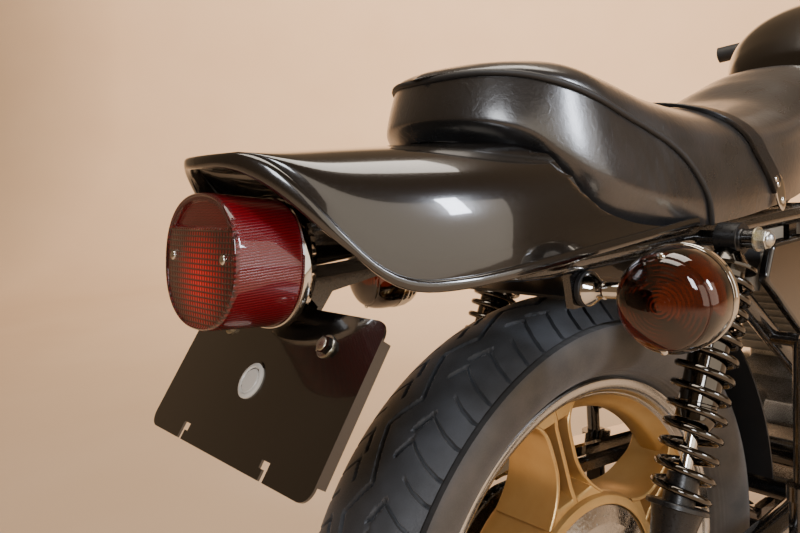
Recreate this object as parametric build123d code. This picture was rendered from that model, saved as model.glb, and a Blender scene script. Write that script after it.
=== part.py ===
from build123d import *
import math
import os

# Cafe racer motorcycle, parked on its centre stand. Millimetres, +X forward, +Y left, +Z up.
# The origin is on the ground, under the middle of the overall box.

# Driving dimensions
WHEELBASE = 1490.0
DRAWN_WHEELBASE = 1490.0
REAR_TYRE_R = 332.0
REAR_TYRE_W = 130.0
REAR_FLANGE_R = 244.0
REAR_RIM_HALF = 43.0
FRONT_TYRE_R = 331.0
FRONT_TYRE_W = 100.0
FRONT_FLANGE_R = 257.0
FRONT_RIM_HALF = 35.0
REAR_LIFT = 12.0
RAKE_DEG = 26.0
FORK_OFFSET = 60.0
FORK_SPREAD = 98.0
SPOKES = 5
AXLE_R = 9.0
RUNNING = 0.05
SEAT_GAP = 0.3

# Licence plate carrier, which is the rearmost piece
PLATE_TOP_X = -314.0
PLATE_TOP_Z = 377.0
PLATE_TILT_DEG = 36.7
PLATE_W = 250.0
PLATE_H = 128.0
PLATE_T = 2.0
PLATE_FLANGE = 9.0


# Tail lamp, measured on the plane where its lens meets the base
LAMP_X, LAMP_Z, LAMP_TILT_DEG = -330.0, 413.5, 8.0
BASE_HALF_W, BASE_HALF_H, BASE_T, RING_T = 61.0, 51.0, 8.0, 5.0
LENS_DEEP = 56.0
LAMP_REACH = (RING_T + LENS_DEEP) * math.cos(math.radians(LAMP_TILT_DEG)) + (BASE_HALF_H - 5) * math.sin(
    math.radians(LAMP_TILT_DEG))

TAIL_REACH = LAMP_REACH - LAMP_X
AXLE_X = -(WHEELBASE + FRONT_TYRE_R - TAIL_REACH) / 2
AXLE_Z = REAR_TYRE_R + REAR_LIFT
STRETCH = WHEELBASE / DRAWN_WHEELBASE
FRONT_X = DRAWN_WHEELBASE
FRONT_Z = FRONT_TYRE_R - AXLE_Z
GROUND = -AXLE_Z

# Tail and seat, as rows of stations
# Cowl: x, half width, bottom of the lip, top of the lip, crown
COWL = [
    (-366, 32, 481, 493, 497),
    (-352, 62, 466, 480, 498),
    (-325, 84, 434, 448, 498),
    (-290, 103, 403, 416, 497),
    (-240, 119, 387, 399, 497),
    (-170, 126, 387, 399, 499),
    (-90, 127, 391, 403, 490),
    (0, 127, 396, 408, 460),
    (80, 124, 400, 412, 430),
]
COWL_WALL = 3.0
# Seat: x, half width, low edge, shoulder, crown
SEAT = [
    (-163, 34, 500, 549, 557),
    (-140, 76, 494, 548, 563),
    (-95, 110, 458, 537, 567),
    (-30, 122, 419, 512, 558),
    (45, 123, 405, 486, 538),
    (130, 124, 400, 468, 527),
    (240, 124, 405, 466, 524),
    (340, 116, 412, 480, 530),
    (420, 100, 432, 515, 562),
    (500, 84, 480, 545, 584),
    (545, 66, 520, 558, 586),
]

# Shock absorbers
SHOCK_Y = 145.0
SHOCK_TOP = (107.0, 385.0)
SHOCK_LOW = (-40.0, 66.0)
SPRING_R = 25.5
WIRE_R = 3.6
SPRING_STAGES = [(5, 14.0), (8, 19.0)]

# Swinging arm, chain and frame
PIVOT_X, PIVOT_Z = 510.0, 8.0
ARM_Y = 112.0
ARM_R = 17.0
CHAIN_Y = 82.0
SPROCKET_R = 92.0
FRONT_SPROCKET_R = 42.0
FRONT_SPROCKET_X = 590.0

# Engine
FIN_T = 3.0
BORES_Y = [-150, -50, 50, 150]

rake = math.radians(RAKE_DEG)
UP_FORK = (-math.sin(rake), math.cos(rake))
AHEAD = (math.cos(rake), math.sin(rake))


def at(x, y, z):
    """A point given from the rear axle's centre. Stations ahead of it follow the wheelbase."""
    return Vector(AXLE_X + x * (STRETCH if x > 0 else 1.0), y, AXLE_Z + z)


def station(point):
    """The station x that at() would place at this point."""
    x = point.X - AXLE_X
    return x / STRETCH if x > 0 else x


def fork_at(along, ahead, y=0.0):
    """A point given along the steering axis from the front axle's foot, and ahead of that axis."""
    back = ahead - FORK_OFFSET
    x = along * UP_FORK[0] + back * AHEAD[0]
    z = along * UP_FORK[1] + back * AHEAD[1]
    return at(FRONT_X, y, FRONT_Z) + Vector(x, 0, z)


def rod(a, b, r):
    """A round bar from a to b."""
    a, b = Vector(a), Vector(b)
    return Solid.make_cylinder(r, (b - a).length, Plane(origin=a, z_dir=b - a))


def cone(a, b, ra, rb):
    """A round taper from a to b."""
    a, b = Vector(a), Vector(b)
    return Solid.make_cone(ra, rb, (b - a).length, Plane(origin=a, z_dir=b - a))


def pipe(points, r, bends):
    """A round tube bent through the points."""
    path = FilletPolyline(*points, radius=bends)
    return sweep(Plane(origin=path @ 0, z_dir=path % 0) * Circle(r), path=path)


def box(x0, x1, y0, y1, z0, z1):
    """A box between two corners given from the rear axle."""
    low, high = at(x0, y0, z0), at(x1, y1, z1)
    middle = (low + high) / 2
    size = high - low
    return Pos(middle.X, middle.Y, middle.Z) * Box(size.X, size.Y, size.Z)


def soft_box(x0, x1, y0, y1, z0, z1, r):
    """A box whose edges are all rounded."""
    solid = box(x0, x1, y0, y1, z0, z1)
    return fillet(solid.edges(), r)


def across(r, x, y0, y1, z):
    """A round bar along Y."""
    return rod(at(x, y0, z), at(x, y1, z), r)


def turned(profile, centre):
    """A solid of revolution about a wheel's axle, from (radius, y) pairs."""
    face = make_face(Polyline(*profile, close=True))
    return Pos(centre.X, centre.Y, centre.Z) * revolve(face, Axis.Y, 360)


def side_plate(points, y0, y1):
    """A plate cut to an outline of (x, z) points, between two y values."""
    face = make_face(Polyline(*[at(x, y0, z) for x, z in points], close=True))
    return extrude(face, amount=y1 - y0, dir=(0, 1, 0))


def joined(solids):
    """All the pieces as one shape."""
    first, *rest = solids
    return first.fuse(*rest) if rest else first


def put(name, *solids):
    """Writes one sub-part."""
    flat = []
    for shape in solids:
        flat.extend(shape.solids())
    export_step(Compound(children=flat) if len(flat) > 1 else flat[0], f"parts/{name}.step")


# Wheels
def cast_wheel(centre, flange, half, hub_r, hub_half, bore):
    """Cast wheel: rim with raised flanges, deep hub and ribbed channel spokes."""
    rim = turned([
        (flange, -half), (flange, -half + 5), (flange - 12, -half + 7), (flange - 12, -half + 14),
        (flange - 30, -14), (flange - 30, 14), (flange - 12, half - 14), (flange - 12, half - 7),
        (flange, half - 5), (flange, half), (flange - 7, half), (flange - 20, half - 18),
        (flange - 37, 12), (flange - 37, -12), (flange - 20, -half + 18), (flange - 7, -half),
    ], centre)
    hub = turned([
        (bore, -hub_half), (hub_r - 8, -hub_half), (hub_r, -hub_half + 8), (hub_r, hub_half - 8),
        (hub_r - 8, hub_half), (bore, hub_half),
    ], centre)
    inner, outer = hub_r - 6, flange - 33
    root, waist, tip = hub_r * 0.25 + 2, 17.0, 24.0
    middle = (inner + outer) / 2 + 8
    sides = make_face([
        Line((-root - 8, inner), (root + 8, inner)),
        ThreePointArc((root + 8, inner), (waist, middle), (tip, outer)),
        Line((tip, outer), (-tip, outer)),
        ThreePointArc((-tip, outer), (-waist, middle), (-root - 8, inner)),
    ])
    shape = extrude(Plane.XZ * sides, amount=half, both=True)
    depth = turned([
        (inner - 1, -hub_half + 6), (middle, -half + 11), (outer + 1, -half + 16),
        (outer + 1, half - 16), (middle, half - 11), (inner - 1, hub_half - 6),
    ], Vector(0, 0, 0))
    spoke = shape & depth
    rib, web = 6.0, 5.0
    for side in (-1, 1):
        for hand in (-1, 1):
            pocket = make_face(Polyline(
                (hand * rib / 2, inner + 14), (hand * (root - 1), inner + 14),
                (hand * (waist - rib), middle), (hand * (tip - rib - 2), outer - 5),
                (hand * rib / 2, outer - 5), close=True))
            cut = extrude(Plane.XZ * pocket, amount=-side * (half + 20))
            spoke -= Pos(0, side * web, 0) * cut
    spokes = [
        Pos(centre.X, centre.Y, centre.Z) * Rot(0, i * 360 / SPOKES - 8, 0) * spoke
        for i in range(SPOKES)
    ]
    return joined([rim, hub, *spokes])


def tyre(centre, r, w, flange, half):
    """Tyre: flat beads on the rim, bulging walls and a round crown."""
    hw = w / 2
    seat_r = flange - 12 + 0.1
    bead = half - 7.3
    shoulder_r = r - 0.36 * hw
    edge = [
        Line((seat_r, -bead), (seat_r, bead)),
        Line((seat_r, bead), (flange + 1, bead)),
        ThreePointArc((flange + 1, bead), ((flange + shoulder_r) / 2, hw), (shoulder_r, hw * 0.93)),
        ThreePointArc((shoulder_r, hw * 0.93), (r, 0), (shoulder_r, -hw * 0.93)),
        ThreePointArc((shoulder_r, -hw * 0.93), ((flange + shoulder_r) / 2, -hw), (flange + 1, -bead)),
        Line((flange + 1, -bead), (seat_r, -bead)),
    ]
    return Pos(centre.X, centre.Y, centre.Z) * revolve(make_face(edge), Axis.Y, 360)


def sprocket(r, teeth, bore, y0, y1, centre):
    """Chain wheel with straight-sided teeth."""
    points = []
    for i in range(teeth):
        a = 2 * math.pi * i / teeth
        step = 2 * math.pi / teeth
        for radius, part in ((r - 5, 0), (r - 5, 0.3), (r + 3, 0.5), (r + 3, 0.75)):
            points.append((radius * math.cos(a + part * step), radius * math.sin(a + part * step)))
    face = make_face(Polyline(*points, close=True)) - Circle(bore)
    solid = extrude(Plane.XZ * face, amount=-(y1 - y0))
    return Pos(centre.X, y0, centre.Z) * solid


REAR = at(0, 0, 0)
FRONT = at(FRONT_X, 0, FRONT_Z)
HUB_R, HUB_HALF = 120.0, 44.0
FRONT_HUB_R, FRONT_HUB_HALF = 58.0, 40.0
DRUM_R = 106.0

rear_wheel = cast_wheel(REAR, REAR_FLANGE_R, REAR_RIM_HALF, HUB_R, HUB_HALF, AXLE_R + RUNNING)
rear_wheel -= turned([(AXLE_R - 2, -HUB_HALF - 1), (DRUM_R + 1, -HUB_HALF - 1), (DRUM_R + 1, -HUB_HALF + 14),
                      (AXLE_R - 2, -HUB_HALF + 14)], REAR)
put("rear_wheel", rear_wheel)
put("rear_tyre", tyre(REAR, REAR_TYRE_R, REAR_TYRE_W, REAR_FLANGE_R, REAR_RIM_HALF))
carrier = turned([(AXLE_R + RUNNING, HUB_HALF), (70, HUB_HALF), (64, CHAIN_Y - 4), (AXLE_R + RUNNING, CHAIN_Y - 4)],
                 REAR)
put("rear_sprocket", joined([carrier, sprocket(SPROCKET_R, 38, AXLE_R + RUNNING, CHAIN_Y - 4, CHAIN_Y + 4, REAR)]))

front_wheel = cast_wheel(FRONT, FRONT_FLANGE_R, FRONT_RIM_HALF, FRONT_HUB_R, FRONT_HUB_HALF, AXLE_R + RUNNING)
put("front_wheel", front_wheel)
put("front_tyre", tyre(FRONT, FRONT_TYRE_R, FRONT_TYRE_W, FRONT_FLANGE_R, FRONT_RIM_HALF))
DISC_R, DISC_T, DISC_Y = 148.0, 6.0, 58.0
discs = []
for side in (-1, 1):
    y0, y1 = sorted((side * DISC_Y, side * (DISC_Y + DISC_T)))
    h0, h1 = sorted((side * FRONT_HUB_HALF, side * DISC_Y))
    rotor = turned([(96, y0), (DISC_R, y0), (DISC_R, y1), (96, y1)], FRONT)
    for ring, count in ((112, 12), (126, 12), (138, 12)):
        for i in range(count):
            a = 2 * math.pi * (i + ring / 40) / count
            hole = Solid.make_cylinder(4, 3 * DISC_T, Plane(
                origin=FRONT + Vector(ring * math.cos(a), side * (DISC_Y - DISC_T), ring * math.sin(a)),
                z_dir=(0, side, 0)))
            rotor -= hole
    bell = turned([(AXLE_R + 3, h0), (56, h0), (72, y0), (96, y0), (96, y1), (AXLE_R + 3, y1)] if side > 0 else
                  [(AXLE_R + 3, h1), (56, h1), (72, y1), (96, y1), (96, y0), (AXLE_R + 3, y0)], FRONT)
    discs.append(joined([bell, rotor]))
put("front_discs", *discs)

# Axles
NUT_R = 15.0
rear_axle = joined([
    across(AXLE_R, 0, -ARM_Y - 30, ARM_Y + 30, 0),
    across(NUT_R, 0, -ARM_Y - 28, -ARM_Y - 14, 0),
    across(NUT_R, 0, ARM_Y + 14, ARM_Y + 28, 0),
])
put("rear_axle", rear_axle)

# Rear brake panel with its lever
panel = turned([(AXLE_R, -HUB_HALF - 6), (60, -HUB_HALF - 6), (88, -HUB_HALF - 2), (DRUM_R, -HUB_HALF + 3),
                (DRUM_R, -HUB_HALF + 9), (AXLE_R, -HUB_HALF + 9)], REAR)
collar = turned([(AXLE_R, -ARM_Y + 14.5), (18, -ARM_Y + 14.5), (26, -HUB_HALF - 6), (AXLE_R, -HUB_HALF - 6)], REAR)
cam = across(11, 46, -HUB_HALF - 22, -HUB_HALF - 2, -52)
lever = side_plate([(38, -60), (54, -60), (60, -110), (46, -112)], -HUB_HALF - 22, -HUB_HALF - 16)
put("rear_brake", joined([panel, collar, cam, lever]) - across(AXLE_R, 0, -200, 200, 0))

# Swinging arm
ARM_REAR_X = -34.0
CROSS_X = 392.0
arm = []
for side in (-1, 1):
    y = side * ARM_Y
    arm.append(rod(at(PIVOT_X, side * (ARM_Y - 14), PIVOT_Z), at(40, y, 0), ARM_R))
    arm.append(soft_box(ARM_REAR_X, 52, y - 13.5, y + 13.5, -24, 24, 3))
    lug = side_plate([(-56, 50), (-50, 80), (-26, 82), (-8, 22), (-34, 22)], side * 116 - 8, side * 116 + 8)
    arm.append(lug)
    stud0, stud1 = sorted((side * 108, side * (SHOCK_Y + 22)))
    arm.append(across(6, SHOCK_LOW[0], stud0, stud1, SHOCK_LOW[1]))
arm.append(across(15, CROSS_X, -ARM_Y + 4, ARM_Y - 4, 5))
arm.append(across(21, PIVOT_X, -ARM_Y - 4, ARM_Y + 4, PIVOT_Z))
swing_arm = joined(arm) - across(AXLE_R, 0, -200, 200, 0)
swing_arm -= across(8 + RUNNING, PIVOT_X, -200, 200, PIVOT_Z)
put("swing_arm", swing_arm)


# Shock absorbers
def shock(side):
    """Upper body, rod, perches and the two-rate coil spring between them."""
    y = side * SHOCK_Y
    top, low = at(SHOCK_TOP[0], y, SHOCK_TOP[1]), at(SHOCK_LOW[0], y, SHOCK_LOW[1])
    line = (low - top).normalized()
    length = (low - top).length

    def on(distance):
        return top + line * distance

    spring_length = sum(turns * pitch for turns, pitch in SPRING_STAGES)
    spring_start = 36.0
    spring_end = spring_start + spring_length
    eyes = [rod(p + Vector(0, -13, 0), p + Vector(0, 13, 0), 16) for p in (top, low)]
    body = [
        cone(on(12), on(28), 11, 24), rod(on(28), on(32), 29), rod(on(32), on(150), 18.5),
        cone(on(150), on(168), 18.5, 13), rod(on(168), on(length - 12), 6.5),
        rod(on(spring_end - 22), on(spring_end + 4), 15),
        rod(on(spring_end + 4), on(spring_end + 9), 29), cone(on(spring_end + 9), on(length - 8), 24, 13),
    ]
    holes = [rod(p + Vector(0, -20, 0), p + Vector(0, 20, 0), 6.05) for p in (top, low)]
    body = joined([*eyes, *body])
    for hole in holes:
        body -= hole
    coils = []
    reached = 0.0
    for turns, pitch in SPRING_STAGES:
        helix = Helix(pitch=pitch, height=turns * pitch, radius=SPRING_R)
        wire = sweep(Plane(origin=helix @ 0, z_dir=helix % 0) * Circle(WIRE_R), path=helix, is_frenet=True)
        frame = Plane(origin=on(spring_start + reached), z_dir=line, x_dir=(0, 1, 0))
        coils.append(frame.location * wire)
        reached += turns * pitch
    return body, coils


for side, name in ((-1, "right"), (1, "left")):
    body, coils = shock(side)
    put(f"shock_{name}", body, joined(coils))


# Steering axis: distances along it, from the front axle's foot
STEM_R = 14.0
HEAD_R = 28.0
HEAD_LOW, HEAD_HIGH = 563.0, 733.0
YOKE_T = 22.0
YOKE_GAP = 2.0
TUBE_R, LEG_R = 18.0, 24.0
TUBE_TOP = 772.0
LEG_TOP = FRONT_TYRE_R - 1.0
BAR_R = 11.0
BAR_ALONG, BAR_AHEAD = 797.0, 34.0

# Main frame: the cradle's tubes as (x, half spread, z) with a bend at each middle point
DOWN_TOP = fork_at(HEAD_LOW + 63.3, -17.3)
DOWN_FOOT = at(1034, 0, -118)
CRADLE = [
    (1040, 6, -92), (1012, 76, -176), (640, 98, -176), (562, 104, -116), (548, 104, 60), (480, 104, 384),
]
CRADLE_BENDS = [50, 90, 60, 60]
TUBE = 14.0
BACKBONE = [fork_at(HEAD_HIGH - 46.7, -8), at(640, 0, 446), at(497, 0, 384)]
BACKBONE_R = 19.0
PLATE_Y = ARM_Y + 4.3
FRAME_PLATE = 8.0
STAND_X, STAND_Z = 480.0, -114.0
SIDE_X, SIDE_Y, SIDE_Z = 655.0, 128.0, -166.0
SIDE_TILT_DEG = 25.0
SEAT_LOW = 400.0
RAIL_R = 12.0
RAIL_Z = SEAT_LOW - SEAT_GAP - RAIL_R
RAIL_Y = 100.0
STRUT_Y, STRUT_R = 118.0, 11.0

TUNNEL = [(1070, 606), (546, 472)]
TUNNEL_HALF = 42.0


def tunnel_z(x):
    """Height of the tank's tunnel roof."""
    (xa, za), (xb, zb) = TUNNEL
    return za + (x - xa) * (zb - za) / (xb - xa)


cradle = []
for x0, x1, z_low in ((980, 1020, 530), (660, 700, 448)):
    saddle = [(x0, z_low), (x0, tunnel_z(x0) - SEAT_GAP), (x1, tunnel_z(x1) - SEAT_GAP), (x1, z_low)]
    cradle.append(side_plate(saddle, -14, 14))
for side in (-1, 1):
    cradle.append(pipe([at(x, side * y, z) for x, y, z in CRADLE], TUBE, CRADLE_BENDS))
    outer = side * (PLATE_Y + FRAME_PLATE)
    y0, y1 = sorted((side * PLATE_Y, outer))
    cradle.append(side_plate([(484, -34), (484, 52), (500, 66), (556, 66), (566, -70), (552, -112), (530, -112)], y0, y1))
    lug0, lug1 = sorted((side * 97, side * 105))
    cradle.append(side_plate([(588, -150), (588, -112), (500, -92), (466, -98), (462, -126), (480, -134), (540, -140)],
                             lug0, lug1))
    cradle.append(side_plate([(640, -180), (640, -158.5), (690, -158.5), (690, -180)], *sorted((side * 80, side * 96))))
cradle.append(rod(DOWN_TOP, DOWN_FOOT, BACKBONE_R))
for side in (-1, 1):
    cradle.append(side_plate([(1013.3, -88), (1013.3, -40), (1064, -40), (1052, -88)], *sorted((side * 22, side * 14))))
cradle.append(across(TUBE, 482, -100, 100, 376))
cradle.append(rod(fork_at(HEAD_LOW, 0), fork_at(HEAD_HIGH, 0), HEAD_R))
cradle.append(pipe(BACKBONE, BACKBONE_R, 120))
PIVOT_BOLT_R = 8.0
cradle.append(across(PIVOT_BOLT_R, PIVOT_X, -PLATE_Y - 18, PLATE_Y + 18, PIVOT_Z))
for side in (-1, 1):
    b0, b1 = sorted((side * (PLATE_Y + FRAME_PLATE), side * (PLATE_Y + 18)))
    cradle.append(across(13, PIVOT_X, b0, b1, PIVOT_Z))
side_axis = Vector(0, -math.cos(math.radians(SIDE_TILT_DEG)), -math.sin(math.radians(SIDE_TILT_DEG)))
side_pivot = at(SIDE_X, SIDE_Y, SIDE_Z)
EYE_HALF = 6.0
cradle.append(rod(side_pivot + side_axis * (EYE_HALF + 0.4), side_pivot + side_axis * 30, 15))
cradle.append(rod(side_pivot - side_axis * (EYE_HALF + 5), side_pivot + side_axis * 8, 5))
cradle.append(rod(side_pivot - side_axis * (EYE_HALF + 8), side_pivot - side_axis * (EYE_HALF + 0.6), 9))
STAND_PIN = 6.0
cradle.append(across(STAND_PIN, STAND_X, -112, 112, STAND_Z))
for side in (-1, 1):
    cradle.append(across(10, STAND_X, *sorted((side * 104, side * 112)), STAND_Z))
main_frame = joined(cradle)
main_frame -= rod(fork_at(HEAD_LOW - 5, 0), fork_at(HEAD_HIGH + 5, 0), STEM_R + RUNNING)

# Seat rails, their struts and the shock absorbers' upper studs
rails = []
for side in (-1, 1):
    rails.append(rod(at(112, side * (RAIL_Y + 2), RAIL_Z - 4), at(505, side * STRUT_Y, 52), STRUT_R))
    s0, s1 = sorted((side * RAIL_Y, side * (SHOCK_Y + 20)))
    rails.append(across(6, SHOCK_TOP[0], s0, s1, SHOCK_TOP[1]))
    n0, n1 = sorted((side * (SHOCK_Y + 13.3), side * (SHOCK_Y + 26)))
    rails.append(across(9.5, SHOCK_TOP[0], n0, n1, SHOCK_TOP[1]))
    c0, c1 = sorted((side * RAIL_Y, side * (SHOCK_Y - 13.3)))
    rails.append(across(8, SHOCK_TOP[0], c0, c1, SHOCK_TOP[1]))
    rails.append(box(330, 350, *sorted((side * 97, side * 104)), 350, 378))
    t0, t1 = sorted((side * RAIL_Y, side * (127 - COWL_WALL - 0.3)))
    rails.append(box(-62, -34, t0, t1, 397, 401))
    g0, g1 = sorted((side * (RAIL_Y - 6), side * (RAIL_Y + 2)))
    rails.append(side_plate([(-96, 386), (-60, 386), (-66, 344), (-90, 344)], g0, g1))
rails.append(pipe([at(500, -RAIL_Y - 4, RAIL_Z), at(-165, -RAIL_Y, RAIL_Z), at(-165, RAIL_Y, RAIL_Z),
                   at(500, RAIL_Y + 4, RAIL_Z)], RAIL_R, 60))
rails.append(across(10, 250, -RAIL_Y, RAIL_Y, RAIL_Z - 2))
seat_frame = joined(rails) - main_frame
seat_frame = joined([s for s in seat_frame.solids() if s.volume > 5000])
put("main_frame", main_frame)
put("seat_frame", seat_frame)


# Bodywork
def hoop(x, w, low, shoulder, crown, low_w=None, power=2.6):
    """Closed section across the machine: flat bottom, near-upright flanks and an arched top."""
    low_w = w if low_w is None else low_w

    def lobe(deg):
        c, s = math.cos(math.radians(deg)), math.sin(math.radians(deg))
        return (w * c ** (2 / power), shoulder + (crown - shoulder) * s ** (2 / power))

    a, b, c, d = lobe(0), lobe(22), lobe(45), lobe(66)
    flank = (w * 0.75 + low_w * 0.25 + 1, (low * 0.35 + shoulder * 0.65))
    base = Plane(origin=at(x, 0, 0), x_dir=(0, 1, 0), z_dir=(1, 0, 0))
    edges = [
        Line((-low_w, low), (low_w, low)),
        ThreePointArc((low_w, low), flank, a),
        ThreePointArc(a, b, c),
        ThreePointArc(c, (d[0], d[1]), (w * 0.22, crown - (crown - shoulder) * 0.012)),
        ThreePointArc((w * 0.22, crown - (crown - shoulder) * 0.012), (0, crown),
                      (-w * 0.22, crown - (crown - shoulder) * 0.012)),
        ThreePointArc((-w * 0.22, crown - (crown - shoulder) * 0.012), (-d[0], d[1]), (-c[0], c[1])),
        ThreePointArc((-c[0], c[1]), (-b[0], b[1]), (-a[0], a[1])),
        ThreePointArc((-a[0], a[1]), (-flank[0], flank[1]), (-low_w, low)),
    ]
    return base * make_face(edges)


def skin(rows):
    """A loft through section faces."""
    return loft(rows, ruled=True)


seat_under = [(x, low - SEAT_GAP) for x, _, low, _, _ in SEAT]
cowl_outer = skin([hoop(x, w, low, lip, crown, power=3.0) for x, w, low, lip, crown in COWL])
cowl_inner = skin([
    hoop(x + (4 if i == 0 else 0), w - COWL_WALL, low - 1, lip, crown - COWL_WALL, power=3.0)
    for i, (x, w, low, lip, crown) in enumerate(COWL)
])
above_seat = side_plate([(-190, 508), *[(x, z) for x, z in seat_under if x < 200], (130, 640), (-190, 640)], -160, 160)
tail_cowl = cowl_outer - cowl_inner - above_seat
tail_cowl = joined([s for s in tail_cowl.solids() if s.volume > 20000])
put("tail_cowl", tail_cowl)
seat = skin([hoop(x, w, low, shoulder, crown, low_w=w - 2) for x, w, low, shoulder, crown in SEAT])
put("seat", seat)

# Tank: x, half width, bottom, widest height, crown
TANK = [
    (556, 84, 494, 562, 612), (620, 118, 466, 580, 662), (720, 136, 446, 596, 698), (840, 142, 436, 602, 707),
    (950, 136, 438, 600, 696), (1020, 116, 456, 598, 676), (1060, 90, 486, 590, 650),
]
tank = skin([hoop(x, w, low, mid, crown, low_w=w - 24) for x, w, low, mid, crown in TANK])
tank -= side_plate([(1070, 380), (1070, tunnel_z(1070)), (546, tunnel_z(546)), (546, 380)], -TUNNEL_HALF, TUNNEL_HALF)
CAP_X, CAP_R = 880.0, 36.0
put("tank", tank)
cap = joined([
    rod(at(CAP_X, 0, 698), at(CAP_X, 0, 710), CAP_R + 6),
    rod(at(CAP_X, 0, 709), at(CAP_X, 0, 722), CAP_R),
])
put("tank_cap", cap - tank)

# Seat strap: a flat band over the seat, pinned at both ends
STRAP_X, STRAP_W, STRAP_T = 220.0, 34.0, 4.0


def band(x, w, low, shoulder, crown, grow):
    """The seat's section grown outwards."""
    return hoop(x, w + grow, low, shoulder, crown + grow, low_w=w - 2 + grow)


def seat_row(x):
    """The seat's section measures at any station."""
    for low_row, high_row in zip(SEAT, SEAT[1:]):
        if low_row[0] <= x <= high_row[0]:
            part = (x - low_row[0]) / (high_row[0] - low_row[0])
            return [a + part * (b - a) for a, b in zip(low_row, high_row)]
    raise ValueError(x)


strap_rows = [seat_row(STRAP_X + side * STRAP_W / 2) for side in (-1, 1)]
strap_out = skin([band(*row, SEAT_GAP + STRAP_T) for row in strap_rows])
strap_in = skin([band(row[0] + step, *row[1:], SEAT_GAP) for row, step in zip(strap_rows, (-2, 2))])
strap = strap_out - strap_in - box(150, 320, -200, 200, 300, SEAT_LOW + 12)
strap_y = seat_row(STRAP_X)[1] + SEAT_GAP + STRAP_T
for side in (-1, 1):
    y0, y1 = sorted((side * strap_y, side * (strap_y + 5)))
    strap = joined([strap, across(9, STRAP_X, y0 - 1, y1 + 1, SEAT_LOW + 34)])
put("seat_strap", strap)

# Side covers
COVER_Y, COVER_T = 120.0, 10.0
covers = []
for side in (-1, 1):
    y0, y1 = sorted((side * COVER_Y, side * (COVER_Y + COVER_T)))
    plate = side_plate([
        (214, 326), (232, 364), (470, 364), (490, 330), (524, 176), (514, 132), (486, 118), (462, 122),
    ], y0, y1)
    edges = plate.edges().filter_by(Axis.Y)
    plate = fillet(edges, 10)
    face = plate.faces().sort_by(Axis.Y)[-1 if side > 0 else 0]
    shell = fillet(face.edges(), 4)
    pegs = [across(6, 510, *sorted((side * 106, side * (COVER_Y + 2))), 240),
            across(5, 340, *sorted((side * 104.1, side * (COVER_Y + 2))), 358)]
    whole = joined([shell, *pegs]) - main_frame
    covers.append(max(whole.solids(), key=lambda solid: solid.volume))
put("side_covers", *covers)

# Tail lamp: a chromed base under a deep red lens, on a bracket from the seat frame
lamp_plane = Plane(origin=at(LAMP_X, 0, LAMP_Z), x_dir=(0, -1, 0),
                   z_dir=(-math.cos(math.radians(LAMP_TILT_DEG)), 0, math.sin(math.radians(LAMP_TILT_DEG))))


def oval(plane, half_w, half_h, rise=0.0):
    """Rounded lamp outline: two wide arcs joined by flatter flanks."""
    k = 0.74
    points = [(half_w, rise), (half_w * k, half_h * k + rise), (0, half_h + rise), (-half_w * k, half_h * k + rise),
              (-half_w, rise), (-half_w * k, -half_h * k + rise), (0, -half_h + rise), (half_w * k, -half_h * k + rise),
              (half_w, rise)]
    arcs = [ThreePointArc(points[i], points[i + 1], points[i + 2]) for i in (0, 2, 4, 6)]
    return plane * make_face(arcs)


base_low = oval(lamp_plane.offset(-BASE_T), BASE_HALF_W - 6, BASE_HALF_H - 6)
base_mid = oval(lamp_plane, BASE_HALF_W, BASE_HALF_H)
lamp_base = joined([loft([base_low, base_mid], ruled=True), extrude(base_mid, amount=RING_T, dir=lamp_plane.z_dir)])
lens_low = oval(lamp_plane.offset(RING_T), BASE_HALF_W - 3, BASE_HALF_H - 2)
lens_high = oval(lamp_plane.offset(RING_T + LENS_DEEP - 6), BASE_HALF_W - 3, BASE_HALF_H - 1)
lens_face = oval(lamp_plane.offset(RING_T + LENS_DEEP), BASE_HALF_W - 8, BASE_HALF_H - 5)
lamp_lens = joined([loft([lens_low, lens_high], ruled=True), loft([lens_high, lens_face], ruled=True)])
put("tail_lamp_base", lamp_base)
put("tail_lamp_lens", lamp_lens)

# Plate holder: folded blank plate with side flanges and two open slots, on a strap from the seat frame
tilt = math.radians(PLATE_TILT_DEG)
plate_plane = Plane(
    origin=at(PLATE_TOP_X, 0, PLATE_TOP_Z), x_dir=(0, -1, 0), z_dir=(-math.cos(tilt), 0, math.sin(tilt)))
half_w = PLATE_W / 2
outline = Pos(0, -PLATE_H / 2) * RectangleRounded(PLATE_W, PLATE_H, 12)
sheet = extrude(plate_plane * outline, amount=PLATE_T, dir=plate_plane.z_dir * -1)
SLOT_Y, SLOT_HALF, SLOT_DEEP, SLOT_HOOK = 66.0, 3.0, 14.0, 8.0
for hand in (-1, 1):
    slot = make_face(Polyline(
        (hand * SLOT_Y - hand * SLOT_HALF, -PLATE_H - 1), (hand * SLOT_Y + hand * SLOT_HALF, -PLATE_H - 1),
        (hand * SLOT_Y + hand * SLOT_HALF, -PLATE_H + SLOT_DEEP),
        (hand * SLOT_Y - hand * SLOT_HOOK, -PLATE_H + SLOT_DEEP),
        (hand * SLOT_Y - hand * SLOT_HOOK, -PLATE_H + SLOT_DEEP - 2 * SLOT_HALF),
        (hand * SLOT_Y - hand * SLOT_HALF, -PLATE_H + SLOT_DEEP - 2 * SLOT_HALF), close=True))
    sheet -= extrude(plate_plane * slot, amount=6, both=True)
    wall = Pos(hand * (half_w - PLATE_T / 2), -PLATE_H / 2) * Rectangle(PLATE_T, PLATE_H - 26)
    sheet = joined([sheet, extrude(plate_plane * wall, amount=PLATE_FLANGE, dir=plate_plane.z_dir * -1)])
bolts = []
for hand in (-1, 1):
    head = extrude(plate_plane * (Pos(hand * 72, -26) * RegularPolygon(7, 6)), amount=5, dir=plate_plane.z_dir)
    bolts.append(head)
disc = extrude(plate_plane * (Pos(-4, -62) * Circle(13)), amount=1.2, dir=plate_plane.z_dir)
STRAP_HALF = 34.0


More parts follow.
